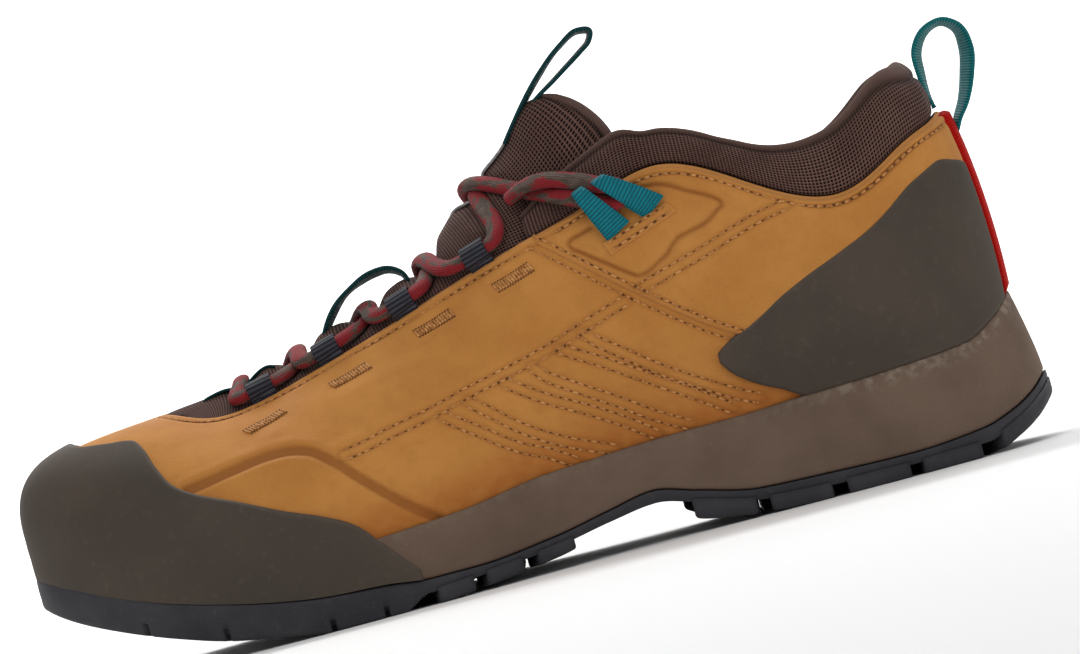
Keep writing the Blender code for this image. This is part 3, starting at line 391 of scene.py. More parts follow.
# Lugs inside the edge: x, y, length along the shoe, width, slant
INNER_LUGS = (
    (-88.0, 0.0, 11.0, 24.0, 0.0), (-70.0, -20.0, 11.0, 18.0, 3.0), (-70.0, 20.0, 11.0, 18.0, -3.0),
    (-52.0, 0.0, 14.0, 24.0, 0.0), (-52.0, -28.0, 11.0, 17.0, 3.0), (-52.0, 28.0, 11.0, 17.0, -3.0),
    (-33.0, 0.0, 10.0, 26.0, 0.0), (-16.0, 3.0, 10.0, 26.0, 0.0), (66.0, 1.0, 12.0, 24.0, 0.0),
    (86.0, 0.5, 13.0, 24.0, 0.0), (105.0, 0.5, 14.0, 26.0, 0.0),
)

STRIP_HALF = 0.6          # half width of the heel tape, as a part of a section
BULGE_WAY = np.array([0.75, 0.0, 0.66])   # in which the tongue swells forwards
SHOULDER = 0.72           # place of the tongue's shoulder, where its edge is 1


def tongue_face(across=np.linspace(-1, 1, 11)):
    """Front face of the tongue: one row of points across it for each row of its table."""
    rows = []
    for k in range(len(TONGUE_ROWS["section"])):
        row = {name: values[k] for name, values in TONGUE_ROWS.items()}
        knots = []
        for section in (row["section"], TURN - row["section"]):
            _, up, out = wall_frame(section, NEAR_EDGE)
            edge = wall(section, 1.0)
            shoulder = edge + row["above"] * up - row["inside"] * out
            knots.append((off_wall(section, row["tuck"], -row["inside"]) + row["above"] * up, shoulder))
        crest = np.array([row["crest_x"], 0.0, row["crest_z"]])
        (low_a, high_a), (low_b, high_b) = knots
        points = np.array([low_a, high_a, crest, high_b, low_b])
        at = np.array([-1.0, -SHOULDER, 0.0, SHOULDER, 1.0])
        swell = row["bulge"] * np.sin(math.pi * np.minimum(np.abs(across) / SHOULDER, 1.0))
        rows.append(natural_curve(at, points, across) + swell[:, None] * BULGE_WAY)
    return np.array(rows)


def natural_curve(at, points, across):
    """Smooth curve through a few points, straight at its ends."""
    count = len(at)
    step = np.diff(at)
    system = np.eye(count)
    right = np.zeros((count, 3))
    for k in range(1, count - 1):
        system[k, k - 1:k + 2] = step[k - 1], 2 * (step[k - 1] + step[k]), step[k]
        right[k] = 6 * ((points[k + 1] - points[k]) / step[k] - (points[k] - points[k - 1]) / step[k - 1])
    bend = np.linalg.solve(system, right)
    k = np.clip(np.searchsorted(at, across, side="right") - 1, 0, count - 2)
    a, b = (at[k + 1] - across)[:, None], (across - at[k])[:, None]
    h = step[k][:, None]
    return ((bend[k] * a ** 3 + bend[k + 1] * b ** 3) / (6 * h) + (points[k] / h - bend[k] * h / 6) * a
            + (points[k + 1] / h - bend[k + 1] * h / 6) * b)


def loop_frame(section):
    """Leather edge at a loop, and the directions along it towards the heel, up and outwards."""
    _, _, out = wall_frame(section, NEAR_EDGE)
    heelwards = wall(section - 0.1, 1.0) - wall(section + 0.1, 1.0)
    if np.mod(section, TURN) > HALF:
        heelwards = -heelwards
    heelwards /= np.linalg.norm(heelwards)
    up = np.cross(out, heelwards)
    if up[2] < 0:
        up = -up
    return wall(section, 1.0), heelwards, up / np.linalg.norm(up), out


def lace_eye(section, reach, height):
    """Middle of the lace in a loop, and the direction towards the heel there."""
    edge, heelwards, up, out = loop_frame(section)
    return edge + reach * up + height * out, heelwards


def over_tongue(row, across, lift):
    """Point over the tongue's face: row counts along it, across runs from -1 to 1."""
    face = tongue_face()
    out = grid_normals(face, False)
    r = min(int(row), len(face) - 2)
    place = (across + 1) / 2 * (face.shape[1] - 1)
    c = min(int(place), face.shape[1] - 2)
    u, v = row - r, place - c
    blend = ((1 - u) * (1 - v), (1 - u) * v, u * (1 - v), u * v)
    cells = ((r, c), (r, c + 1), (r + 1, c), (r + 1, c + 1))
    point = sum(b * face[cell] for b, cell in zip(blend, cells))
    away = sum(b * out[cell] for b, cell in zip(blend, cells))
    return point + lift * away / np.linalg.norm(away) * (1 if away[2] > 0 else -1)


# Rows of the tongue at which the lace crosses its middle, from the lowest bar to the highest crossing
LACE_BAR = 2.28
LACE_CROSSINGS = (3.45, 4.9, 6.3, 8.0)
UNDER = 2.0               # room under the lowest bar, which the tongue fills
UNDER_LIFT = 1.9          # of the lower strand over the tongue where the strands cross
OVER_LIFT = 5.5           # and of the upper one
HIGHEST_LIFT = 0.6        # more lift at the highest crossing, where the tongue bends up
EYE_RUN = (-6.2, -3.2, 2.4, 4.4)     # straight run of the lace through a dark loop, along the leather
# From the highest crossing the lace comes to the front here: row, across and lift over the tongue
LAST_TURN = (8.8, 0.44, LACE / 2 + 1.6)
# and then runs through the two top loops, turns back over itself and ends under its own first run:
# section, reach and height as in lace_eye
TOP_RUN = (
    (5.93, 0.8, 5.2), (5.76, -3.9, 4.4), (5.61, -6.6, 4.0), (5.50, -5.4, 4.2), (5.53, -2.2, 5.0),
    (5.66, 0.0, 5.6), (5.78, 3.7, 5.4), (5.94, 7.7, 5.2), (6.14, 11.5, 4.8), (6.36, 13.8, 3.4),
    (6.52, 14.4, 1.4), (6.62, 14.2, 0.4),
)


def lace_route(starts_outside):
    """One strand of the lace, from the lowest bar to its end beyond the top loops."""
    outer_side = starts_outside
    route = [over_tongue(LACE_BAR, 0.0, LACE / 2 + UNDER)]
    for section, crossing in zip(LACE_LOOPS[::-1], LACE_CROSSINGS):
        eye, heelwards = lace_eye(on_side(section, outer_side), LOOP_REACH, LOOP_HEIGHT)
        route += [eye + step * heelwards for step in EYE_RUN]
        lift = OVER_LIFT if outer_side else UNDER_LIFT
        more = HIGHEST_LIFT if crossing == LACE_CROSSINGS[-1] else 0.0
        route.append(over_tongue(crossing, 0.0, lift + more))
        outer_side = not outer_side
    side = 1 if outer_side else -1
    row, across, last_lift = LAST_TURN
    route.append(over_tongue(row, side * across, last_lift))
    for section, reach, height in TOP_RUN:
        route.append(lace_eye(on_side(section, outer_side), reach, height)[0])
    return route


# Meshes

def smooth(value, low, high):
    """0 below low, 1 above high, and an S between."""
    t = np.clip((value - low) / (high - low), 0, 1)
    return t * t * (3 - 2 * t)


def unit(vectors):
    return vectors / np.maximum(np.linalg.norm(vectors, axis=-1, keepdims=True), 1e-9)


def add_object(name, points, faces, uvs=None, mask=None, finishes=(), face_finish=None):
    """Mesh in metres from points in millimetres. uvs has one pair for each corner of each face."""
    mesh = bpy.data.meshes.new(name)
    mesh.from_pydata(((np.asarray(points) - MIDDLE) * MM).tolist(), [], faces)
    for finish in finishes:
        mesh.materials.append(finish)
    if face_finish is not None:
        mesh.polygons.foreach_set("material_index", np.asarray(face_finish, np.int32))
    if uvs is not None:
        layer = mesh.uv_layers.new(name="cloth")
        layer.data.foreach_set("uv", np.asarray(uvs, np.float32).ravel())
    if mask is not None:
        layer = mesh.color_attributes.new("mask", "FLOAT_COLOR", "POINT")
        colours = np.ones((len(mesh.vertices), 4), np.float32)
        colours[:, :mask.shape[1]] = mask
        layer.data.foreach_set("color", colours.ravel())
    mesh.shade_smooth()
    made = bpy.data.objects.new(name, mesh)
    bpy.context.scene.collection.objects.link(made)
    return made


def grid_faces(rows, columns, rows_closed, columns_closed, start=0):
    """Four corners of each cell as point numbers, and the same corners as row and column steps."""
    r, c = np.meshgrid(np.arange(rows if rows_closed else rows - 1),
                       np.arange(columns if columns_closed else columns - 1), indexing="ij")
    r, c = r.ravel(), c.ravel()
    steps = np.stack([np.stack([r, c], -1), np.stack([r, c + 1], -1),
                      np.stack([r + 1, c + 1], -1), np.stack([r + 1, c], -1)], 1)
    numbers = start + (steps[..., 0] % rows) * columns + steps[..., 1] % columns
    return numbers, steps


def ladder_cap(ring, flip):
    """Faces that close a ring of points by joining each to the one across."""
    count = len(ring)
    half = count // 2
    faces = [(ring[0], ring[1], ring[-1]), (ring[half - 1], ring[half], ring[half + 1])]
    faces += [(ring[i], ring[i + 1], ring[count - i - 1], ring[count - i]) for i in range(1, half - 1)]
    return [tuple(reversed(face)) for face in faces] if flip else faces


def surface(name, grid, rows_closed, columns_closed, finishes, uv=None, mask=None, caps=(),
            face_finish=None):
    """Closed mesh over a grid of points. uv gives the rows' and the columns' places in the cloth."""
    rows, columns = grid.shape[:2]
    numbers, steps = grid_faces(rows, columns, rows_closed, columns_closed)
    faces = numbers.tolist()
    for ring, flip in caps:
        faces += ladder_cap([int(number) for number in ring], flip)
    uvs = None
    if uv is not None:
        along_rows, along_columns = uv
        corner = np.stack([along_columns[steps[..., 1]], along_rows[steps[..., 0]]], -1).reshape(-1, 2)
        extra = sum(len(face) for face in faces[len(numbers):])
        uvs = np.concatenate([corner, np.zeros((extra, 2))])
    kinds = None
    if face_finish is not None:
        kinds = np.concatenate([face_finish[steps[:, 0, 0]], np.zeros(len(faces) - len(numbers), int)])
    flat = None if mask is None else mask.reshape(-1, mask.shape[-1])
    made = add_object(name, grid.reshape(-1, 3), faces, uvs, flat, finishes, kinds)
    face_outwards(made)
    return made


def caps_across(rows, columns):
    """Caps at the first and the last column of a grid whose rows are closed."""
    return (([r * columns for r in range(rows)], True),
            ([r * columns + columns - 1 for r in range(rows)], False))


def caps_along(rows, columns):
    """Caps at the first and the last row of a grid whose columns are closed."""
    return (list(range(columns)), True), ([(rows - 1) * columns + c for c in range(columns)], False)


def face_outwards(piece):
    mesh = bmesh.new()
    mesh.from_mesh(piece.data)
    bmesh.ops.recalc_face_normals(mesh, faces=mesh.faces)
    mesh.to_mesh(piece.data)
    mesh.free()


def shell(name, outer, inner, finishes, uv=None, mask=None):
    """Closed sheet between an outer and an inner grid, open in neither direction."""
    rows, columns = outer.shape[:2]
    grid = np.concatenate([outer, inner[::-1]])
    if mask is not None:
        mask = np.concatenate([mask, mask[::-1]])
    if uv is not None:
        uv = (np.concatenate([uv[0], uv[0][::-1], uv[0][:1]]), uv[1])
    return surface(name, grid, True, False, finishes, uv, mask, caps_across(2 * rows, columns))


def arc_lengths(grid, axis):
    """Distance along a grid's rows or columns from their start."""
    step = np.linalg.norm(np.diff(grid, axis=axis), axis=-1)
    zero = np.zeros_like(np.take(step, [0], axis))
    return np.concatenate([zero, np.cumsum(step, axis)], axis)


def from_top_row(grid):
    """Distance from each point of a grid along its column to the last row."""
    length = arc_lengths(grid, 0)
    return length[-1] - length


def border_distance(grid):
    """Distance from each point of a grid to the nearest border."""
    made = []
    for axis in (0, 1):
        at = arc_lengths(grid, axis)
        whole = np.take(at, [-1], axis)
        made += [at, whole - at]
    return np.minimum.reduce(made)


def rounded(distance, radius):
    """Height of a quarter-round edge, as a share of its full height."""
    t = 1 - np.clip(distance / radius, 0, 1)
    return np.sqrt(np.maximum(1 - t * t, 0))


def spread(count, edge=(0.0, 0.002, 0.006, 0.012, 0.02)):
    """Places from 0 to 1, closer together at both ends."""
    edge = np.array(edge)
    return np.concatenate([edge, np.linspace(0.03, 0.97, count), 1 - edge[::-1]])


def channels(*values):
    """The four masks of a piece as one array. The finish that reads them says what each is for."""
    return np.stack(np.broadcast_arrays(*values), -1)


def wobble(points, size, seed):
    """Slow unevenness of hand-made pieces, between about -1 and 1."""
    x, y, z = points[..., 0] / size, points[..., 1] / size, points[..., 2] / size
    return (np.sin(1.7 * x + 0.9 * y + seed) + np.sin(2.3 * z - 1.1 * x + 2 * seed)
            + np.sin(2.9 * y + 1.9 * z + 3 * seed)) / 3


def uneven(points, quarter):
    """Slight waves of the leather over the last, or of the leather laid over the quarter."""
    return 0.15 * wobble(points, 8.0, 4.0) if quarter else 0.18 * wobble(points, 9.0, 1.0)


def dress(piece, slot_name, *nodes):
    """Ties a piece to the shoe and hides the solids that it stands for."""
    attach(piece, "root")
    if nodes:
        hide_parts(*nodes)
    return piece


# Lines that show in the side view, x and z in millimetres. Both sides of the shoe have them.

def line(*points):
    return curve_through([(x, 0.0, z) for x, z in points], 5)[:, [0, 2]]


MAIN_SEAM = line((-53.0, 47.7), (-46.8, 48.6), (-38.0, 50.7), (-29.5, 52.3), (-23.0, 53.7), (-14.0, 56.1),
                 (-4.0, 58.2), (4.0, 60.0), (12.6, 62.3), (21.4, 65.2), (28.7, 67.6), (36.5, 70.0))
BRANCHES = (
    line((22.0, 64.2), (25.5, 60.6), (30.7, 56.5), (41.7, 47.8), (54.6, 39.5), (62.3, 34.9), (67.0, 32.7)),
    line((14.2, 61.6), (18.2, 59.0), (23.6, 55.8), (34.9, 48.2), (47.8, 39.5), (53.7, 35.4), (58.6, 31.8)),
    line((5.5, 58.8), (8.4, 54.9), (13.3, 51.4), (26.9, 42.4), (38.2, 34.5), (45.5, 30.4)),
    line((-3.2, 56.0), (0.8, 53.0), (6.6, 48.9), (18.2, 42.2), (29.5, 34.8), (35.6, 30.0)),
    line((-14.6, 53.4), (-10.3, 49.6), (-1.6, 42.0), (9.8, 34.9), (23.0, 29.0)),
    line((-22.8, 51.3), (-19.3, 48.6), (-14.1, 44.7), (-3.0, 36.5), (3.4, 33.4), (11.2, 28.4)),
)
QUARTER_SEAM = line((14.2, 93.6), (22.5, 86.2), (29.7, 79.8), (39.1, 71.6), (47.9, 64.4), (57.5, 57.0),
                    (68.0, 50.4))
UPPER_PAIR = line((41.0, 72.0), (53.6, 75.6), (62.2, 78.0), (71.0, 80.9), (79.8, 83.4), (88.0, 84.9))
PATCH_FRAME = line((44.5, 100.9), (49.5, 100.0), (52.8, 99.8), (56.3, 98.8), (61.6, 95.8), (68.1, 92.2),
                   (69.7, 90.8), (70.0, 89.3), (68.7, 88.5), (64.6, 85.8), (58.6, 84.3), (55.3, 83.3),
                   (53.5, 81.9), (51.2, 79.8), (48.3, 78.1), (44.8, 76.3), (43.1, 75.9), (41.6, 75.9),
                   (40.0, 76.9), (33.3, 82.0), (28.2, 86.0), (25.4, 88.3), (25.0, 89.5), (25.9, 90.5),
                   (29.0, 91.4), (32.3, 92.5))
TOE_GROOVE = line((-99.0, 49.4), (-92.3, 50.6), (-83.4, 52.0), (-74.6, 53.1), (-67.4, 53.0), (-61.8, 51.3),
                  (-57.3, 47.7), (-51.9, 42.4), (-45.2, 35.6), (-38.4, 29.1), (-31.3, 23.4))
BARTACKS = ((6.7, 84.8), (-18.7, 77.8), (-45.9, 69.4), (-72.9, 62.9))
BARTACK_SLOPE = 0.29
STRIP_CORNERS = ((34.3, 87.2), (54.6, 94.4), (57.4, 91.0), (35.8, 83.3))   # strip over the top loops' ends
STRIP_LIFT = 0.75

# Soft creases, each a line with its depth and half width. A negative depth is a ridge.
VAMP_CREASES = (
    (line((-96.0, 63.0), (-86.0, 61.5), (-78.0, 57.5)), 0.45, 3.0),
    (line((-70.0, 63.5), (-60.0, 60.0), (-50.0, 56.0)), 0.30, 4.0),
    (line((-36.0, 71.0), (-22.0, 66.5), (-6.0, 66.5)), 0.30, 5.0),
    (line((-60.0, 45.0), (-46.0, 47.0), (-34.0, 42.0), (-24.0, 32.0)), -0.35, 5.0),
    (line((2.0, 84.0), (12.0, 77.0), (24.0, 73.5)), 0.35, 4.0),
    (line((0.0, 77.0), (14.0, 70.5), (28.0, 71.0)), -0.25, 4.0),
    (line((28.0, 62.0), (38.0, 58.5), (52.0, 49.0)), -0.40, 4.5),
    (line((44.0, 52.0), (58.0, 45.0), (72.0, 36.5)), 0.30, 3.5),
    (line((-86.0, 42.0), (-72.0, 44.0), (-58.0, 40.0)), -0.30, 6.0),
)
QUARTER_CREASES = (
    (line((88.0, 79.0), (98.0, 76.5), (110.0, 79.0), (122.0, 88.0)), 0.45, 4.0),
    (line((76.0, 76.0), (86.0, 71.0), (98.0, 68.5)), 0.35, 5.0),
    (line((92.0, 71.5), (104.0, 70.0), (114.0, 74.0)), -0.30, 4.0),
    (line((60.0, 70.0), (72.0, 66.5), (82.0, 60.0)), 0.30, 5.0),
    (line((33.0, 101.0), (46.0, 104.5), (60.0, 103.0)), -0.25, 3.0),
    (line((70.0, 96.0), (80.0, 91.0), (92.0, 86.0)), -0.25, 3.0),
    (line((64.0, 60.0), (74.0, 55.0), (84.0, 52.0)), -0.30, 4.0),
)


def beside(points, distance):
    """A line at a distance to the left of another."""
    along = unit(np.gradient(points, axis=0))
    return points + distance * np.stack([-along[:, 1], along[:, 0]], -1)


def line_distance(points, x, z):
    """Distance in the side view from each place to a line."""
    place = np.stack([x, z], -1)
    best = np.full(x.shape, 1e3)
    for start, end in zip(points[:-1], points[1:]):
        step = end - start
        t = np.clip(((place - start) @ step) / max(step @ step, 1e-9), 0, 1)
        best = np.minimum(best, np.linalg.norm(place - start - t[..., None] * step, axis=-1))
    return best


def trough(distance, width):
    """1 on a line, falling softly to 0 at about twice the width."""
    return np.exp(-(distance / width) ** 2)


PAIR = 1.45               # half the distance between the two rows of a double seam
ROW_WIDTH = 0.75          # of the dent that a row of stitches draws
EDGE_ROW = 2.2            # from the leather's edge to its row of stitches
BESIDE_SEAM = 1.8         # from the quarter's seam to the row on either side of it


def double_seam(distance):
    """Relief of a double row of stitches: each row draws the leather down, and it swells between."""
    rows = trough(np.abs(distance) - PAIR, ROW_WIDTH)
    swell = trough(distance, 0.8) + 0.9 * trough(distance - 3.4, 1.2)
    return -0.34 * rows + 0.26 * swell, rows


def crease_relief(creases, x, z):
    return sum(-depth * trough(line_distance(points, x, z), width) for points, depth, width in creases)


def edge_relief(drop):
    """Folded edge at the throat and the collar, with a row of stitches at a drop down the leather."""
    row = trough(drop - EDGE_ROW, 0.7)
    return 0.35 * trough(drop - 0.6, 0.9) - 0.32 * row + 0.12 * trough(drop - EDGE_ROW - 2.4, 1.3), row


def vamp_relief(x, z, drop):
    """Height of the leather over the last, and how much each place is shaded by seams and grooves."""
    height = crease_relief(VAMP_CREASES, x, z)
    shade = np.zeros(x.shape)
    for points in (MAIN_SEAM,) + BRANCHES:
        rise, rows = double_seam(line_distance(points, x, z))
        height = height + rise
        shade = np.maximum(shade, 0.45 * rows)
    groove = line_distance(TOE_GROOVE, x, z)
    inside = 1 - smooth(groove, 1.0, 1.8)
    height = height - 0.75 * inside + 0.28 * trough(groove - 2.8, 1.0)
    for bx, bz in BARTACKS:
        along = (x - bx) + BARTACK_SLOPE * (z - bz)
        across = (z - bz) - BARTACK_SLOPE * (x - bx)
        height = height - 0.4 * trough(along, 5.5) * trough(across, 2.2)
        height = height + 0.3 * trough(along, 7.5) * trough(np.abs(across) - 4.4, 1.6)
    rise, rows = edge_relief(drop)
    below = line_distance(beside(QUARTER_SEAM, -BESIDE_SEAM), x, z)
    height = height + rise - 0.3 * trough(below, 0.7) + 0.3 * trough(below - 2.2, 1.3)
    shade = np.maximum.reduce([shade, 0.4 * rows, 0.4 * trough(below, 0.7)])
    return height, shade, inside


def quarter_relief(x, z, drop):
    """The same for the leather laid over the quarter."""
    height = crease_relief(QUARTER_CREASES, x, z)
    frame_line = line_distance(PATCH_FRAME, x, z)
    height = height - 0.8 * trough(frame_line, 0.6) + 0.15 * trough(frame_line - 1.9, 0.9)
    above = line_distance(beside(QUARTER_SEAM, BESIDE_SEAM), x, z)
    rise, rows = double_seam(line_distance(UPPER_PAIR, x, z))
    edge, edge_rows = edge_relief(drop)
    height = height + rise + edge - 0.3 * trough(above, 0.7)
    shade = np.maximum.reduce([0.45 * rows, 0.4 * edge_rows, 0.4 * trough(above, 0.7)])
    return height, shade, trough(frame_line, 0.55)


# Places on the leather

SEARCH_SECTION, SEARCH_SHARE = np.meshgrid(np.linspace(0.05, HALF - 0.05, 240), np.linspace(0, 1, 90))


def locate(x, z, outer_side):
    """Section and share of the wall at which the side view shows a place."""
    x, z = np.atleast_1d(np.asarray(x, float)), np.atleast_1d(np.asarray(z, float))

    def place(section, share):
        return wall(on_side(section, outer_side), share)

    known = place(SEARCH_SECTION, SEARCH_SHARE).reshape(-1, 3)
    nearest = np.argmin((x[:, None] - known[:, 0]) ** 2 + (z[:, None] - known[:, 2]) ** 2, axis=1)
    section, share = SEARCH_SECTION.ravel()[nearest], SEARCH_SHARE.ravel()[nearest]
    step = 1e-3
    for _ in range(5):
        here = place(section, share)
        by_section = (place(section + step, share) - here) / step
        by_share = (place(section, share + step) - here) / step
        miss_x, miss_z = x - here[:, 0], z - here[:, 2]
        size = by_section[:, 0] * by_share[:, 2] - by_section[:, 2] * by_share[:, 0]
        size = np.where(np.abs(size) < 1.0, 1.0, size)
        section = section + np.clip((miss_x * by_share[:, 2] - miss_z * by_share[:, 0]) / size, -0.1, 0.1)
        share = np.clip(share + (by_section[:, 0] * miss_z - by_section[:, 2] * miss_x) / size, 0, 1.0)
    return on_side(section, outer_side), share


OVER_QUARTER = OVERLAY_GAP + PANEL   # height of the quarter's face over the leather
CLEAR_OF_EDGE = 99.0                 # a drop at which the leather's edge has no relief


def on_leather(x, z, outer_side, lift=0.0, quarter=False):
    """Point on the leather's finished surface where the side view shows a place, and the way outwards."""
    section, share = locate(x, z, outer_side)
    drop = np.full(section.shape, CLEAR_OF_EDGE)
    relief, _, _ = (quarter_relief if quarter else vamp_relief)(np.atleast_1d(x), np.atleast_1d(z), drop)
    height = relief + uneven(wall(section, share), quarter) + lift + (OVER_QUARTER if quarter else 0.0)
    return off_wall(section, share, height), wall_frame(section, share)[2]


def below_edge(sections, drop):
    """Share of the wall at a distance below the top line, measured down the leather."""
    shares = np.linspace(0.5, TOP_SHARE, 60)
    grid = wall(np.broadcast_to(sections, (60, len(sections))), shares[:, None])
    length = from_top_row(grid)
    return np.array([np.interp(drop, length[::-1, k], shares[::-1]) for k in range(len(sections))])


# Pieces of leather and rubber

TOP_SHARE = 0.986         # where the leather's edge starts to roll inwards
AROUND = 728              # points round the shoe
OUTER_ROWS = 98           # of the leather's outer and inner face
INNER_ROWS = 12


def fine_ring():
    return np.arange(AROUND) * TURN / AROUND


def make_upper(leather, lining):
    """Leather shell with its lining, a rolled top edge, seams, grooves and creases."""
    section, share = np.meshgrid(fine_ring(), np.linspace(0, TOP_SHARE, OUTER_ROWS))
    base = wall(section, share)
    out = grid_normals(base, True)
    drop = from_top_row(base)
    height, shade, groove = vamp_relief(base[..., 0], base[..., 2], drop)
    fade = smooth(np.abs(base[..., 1]), 4.0, 12.0)
    height = height * fade + uneven(base, False)
    outer = base + height[..., None] * out
    # Darker towards the midsole rim, fading out 15 mm above it.
    near_rim_darkening = 1 - smooth(base[..., 2] - sole_level("rim", base[..., 0]), 1.0, 15.0)
    lip = 1 - smooth(drop, 0.0, 1.3)
    # Masks: painted shade along the rows of stitches, painted shade in the toe groove, darker towards the
    # midsole rim, and a painted highlight along the top edge.
    mask = channels(shade * fade, np.maximum(groove * fade, 0), near_rim_darkening, lip)

    top, top_out = outer[-1], out[-1]
    up = unit(outer[-1] - outer[-3])
    roll = [top - WALL / 2 * (1 - math.cos(a)) * top_out + WALL / 2 * math.sin(a) * up
            for a in np.radians((35, 70, 110, 145))]
    low = np.linspace(OUTER_ROWS - 1, 0, INNER_ROWS).astype(int)
    inner = (base - WALL * out)[low]
    inner[-1, :, 2] = base[0, :, 2]
    grid = np.concatenate([outer, roll, inner])
    extra = np.zeros((len(roll) + len(inner), AROUND, 4))
    # Painted highlight on the rolled top edge.
    extra[:len(roll), :, 3] = 1.0
    kinds = np.array([0] * (OUTER_ROWS + 2) + [1] * (len(roll) - 2 + INNER_ROWS))
    kinds[-1] = 1
    upper = surface("upper_leather", grid, True, True, (leather, lining), None,
                    np.concatenate([mask, extra]), (), kinds)
    return dress(upper, "nubuck", "upper")


def side_sections(places, outer_side):
    """Sections of one side in the order in which they run round the shoe."""
    return TURN - places[::-1] if outer_side else places


def over_rim(sections, share):
    """Points on the leather at shares of the wall over the midsole's rim, and the way outwards."""
    rim = rim_share(sections)
    place = rim + share * (1 - rim)
    return wall(sections, place), wall_frame(sections, place)[2]


def panel_low(near):
    """Lower edge of the quarter, as a share of the wall over the rim, a little under the heel rubber."""
    section, share = locate(QUARTER_SEAM[:, 0], QUARTER_SEAM[:, 1], False)
    rim = rim_share(section)
    order = np.argsort(section)
    seam = np.interp(near, section[order], ((share - rim) / (1 - rim))[order])
    rubber_top = level(HEEL_RAND_EDGE["section"], HEEL_RAND_EDGE["top"], near)
    return np.where(near < section.min() + 0.04, rubber_top - 0.03, seam)


def make_quarter(side, outer_side, leather):
    end = locate(*QUARTER_SEAM[1], False)[0][0]
    places = STRIP_HALF - 0.02 + (end - STRIP_HALF + 0.02) * spread(230)
    sections = side_sections(places, outer_side)
    near = np.minimum(sections, TURN - sections)
    low = panel_low(near)
    share = low + (TOP_SHARE - low) * spread(96)[:, None]
    base, out = over_rim(sections, share)
    height, shade, groove = quarter_relief(base[..., 0], base[..., 2], from_top_row(base))
    border = border_distance(base)
    height = (height + uneven(base, True)) * smooth(border, 0.0, 2.0)
    outer = base + (-0.3 + (OVER_QUARTER + 0.3) * rounded(border, 1.3) + height)[..., None] * out
    # Masks: painted shade along the rows of stitches, painted shade in the frame's groove, and a painted
    # highlight along the edges.
    mask = channels(shade, groove, 0.0, 1 - smooth(border, 0.3, 1.2))
    panel = shell(f"quarter_leather_{side}", outer, base - SUNK * out, (leather,), None, mask)
    return dress(panel, "nubuck", f"quarter_{side}")


def make_heel_rand(side, outer_side, rubber):
    end = HEEL_RAND_EDGE["section"][-1]
    places = STRIP_HALF + (end - STRIP_HALF) * spread(110)
    sections = side_sections(places, outer_side)
    near = np.minimum(sections, TURN - sections)
    high = level(HEEL_RAND_EDGE["section"], HEEL_RAND_EDGE["top"], near)
    low = level(HEEL_RAND_EDGE["section"], HEEL_RAND_EDGE["bottom"], near)
    share = low + (high - low) * spread(46)[:, None]
    base, out = over_rim(sections, share)
    border = border_distance(base)
    lift = (OVERLAY_GAP + HEEL_RAND + 0.2) * rounded(border, 1.8) - 0.2 + 0.1 * wobble(base, 12.0, 2.0)
    # The last mask is a painted highlight along the rounded edges.
    mask = channels(0.0, 0.0, 0.0, 1 - smooth(border, 0.4, 2.0))
    piece = shell(f"heel_rubber_{side}", base + lift[..., None] * out, base - SUNK * out, (rubber,),
                  None, mask)
    return dress(piece, "rand_rubber", f"heel_rand_{side}")


def make_toe_rand(rubber):
    """Rubber round the toe, thinner towards its upper edge, which is rounded."""
    start = TOE_RAND_EDGE["section"][0]
    sections = start + (TURN - 2 * start) * spread(290, (0.0, 0.0004, 0.001, 0.002, 0.004))
    near = np.minimum(sections, TURN - sections)
    high = level(TOE_RAND_EDGE["section"], TOE_RAND_EDGE["share"], near)
    thick = np.interp(near, (start, 9.4), (0.8, RAND - RAND_GAP))
    rows = spread(70)[:, None]
    section = np.broadcast_to(sections, (len(rows), len(sections)))
    base = skin(section, -1.0 + (high + 1.0) * rows)
    out = grid_normals(base, False)
    toe = np.interp(near, (10.0, 11.5), (0.0, 0.5))
    at_low, at_side = arc_lengths(base, 0), arc_lengths(base, 1)
    from_top = np.minimum.reduce([at_low[-1] - at_low, at_side, at_side[:, -1:] - at_side])
    full = (RAND_GAP + toe)[None, :] + thick[None, :] * (1 - 0.5 * rows ** 3)
    lift = (-0.25 + (full + 0.25) * rounded(from_top, 1.6)
            + 0.16 * wobble(base, 16.0, 5.0) * smooth(from_top, 0, 6))
    outer = base + lift[..., None] * out
    inner = base - SUNK * out
    for face in (inner, outer):
        face[0, :, 2] = sole_level("joint", face[0, :, 0]) + GAP
    # The last mask is a painted highlight along the rounded upper edge.
    mask = channels(0.0, 0.0, 0.0, 1 - smooth(from_top, 0.4, 2.2))
    piece = shell("toe_rubber", outer, inner, (rubber,), None, mask)
    return dress(piece, "rand_rubber", "toe_rand")


def make_heel_strip(tape):
    sections = STRIP_HALF * (2 * spread(22, (0.0, 0.01, 0.03)) - 1)
    share = 0.012 + 0.978 * spread(90, (0.0, 0.002, 0.006))[:, None]
    base, out = over_rim(sections, share)
    lift = -0.1 + (OVERLAY_GAP + STRIP + 1.1) * rounded(border_distance(base), 1.2)
    up = arc_lengths(base, 0)[:, len(sections) // 2]
    across = arc_lengths(base, 1)[len(share) // 2]
    piece = shell("heel_tape", base + lift[..., None] * out, base - SUNK * out, (tape,), (up, across))
    return dress(piece, "red_tape", "heel_strip")


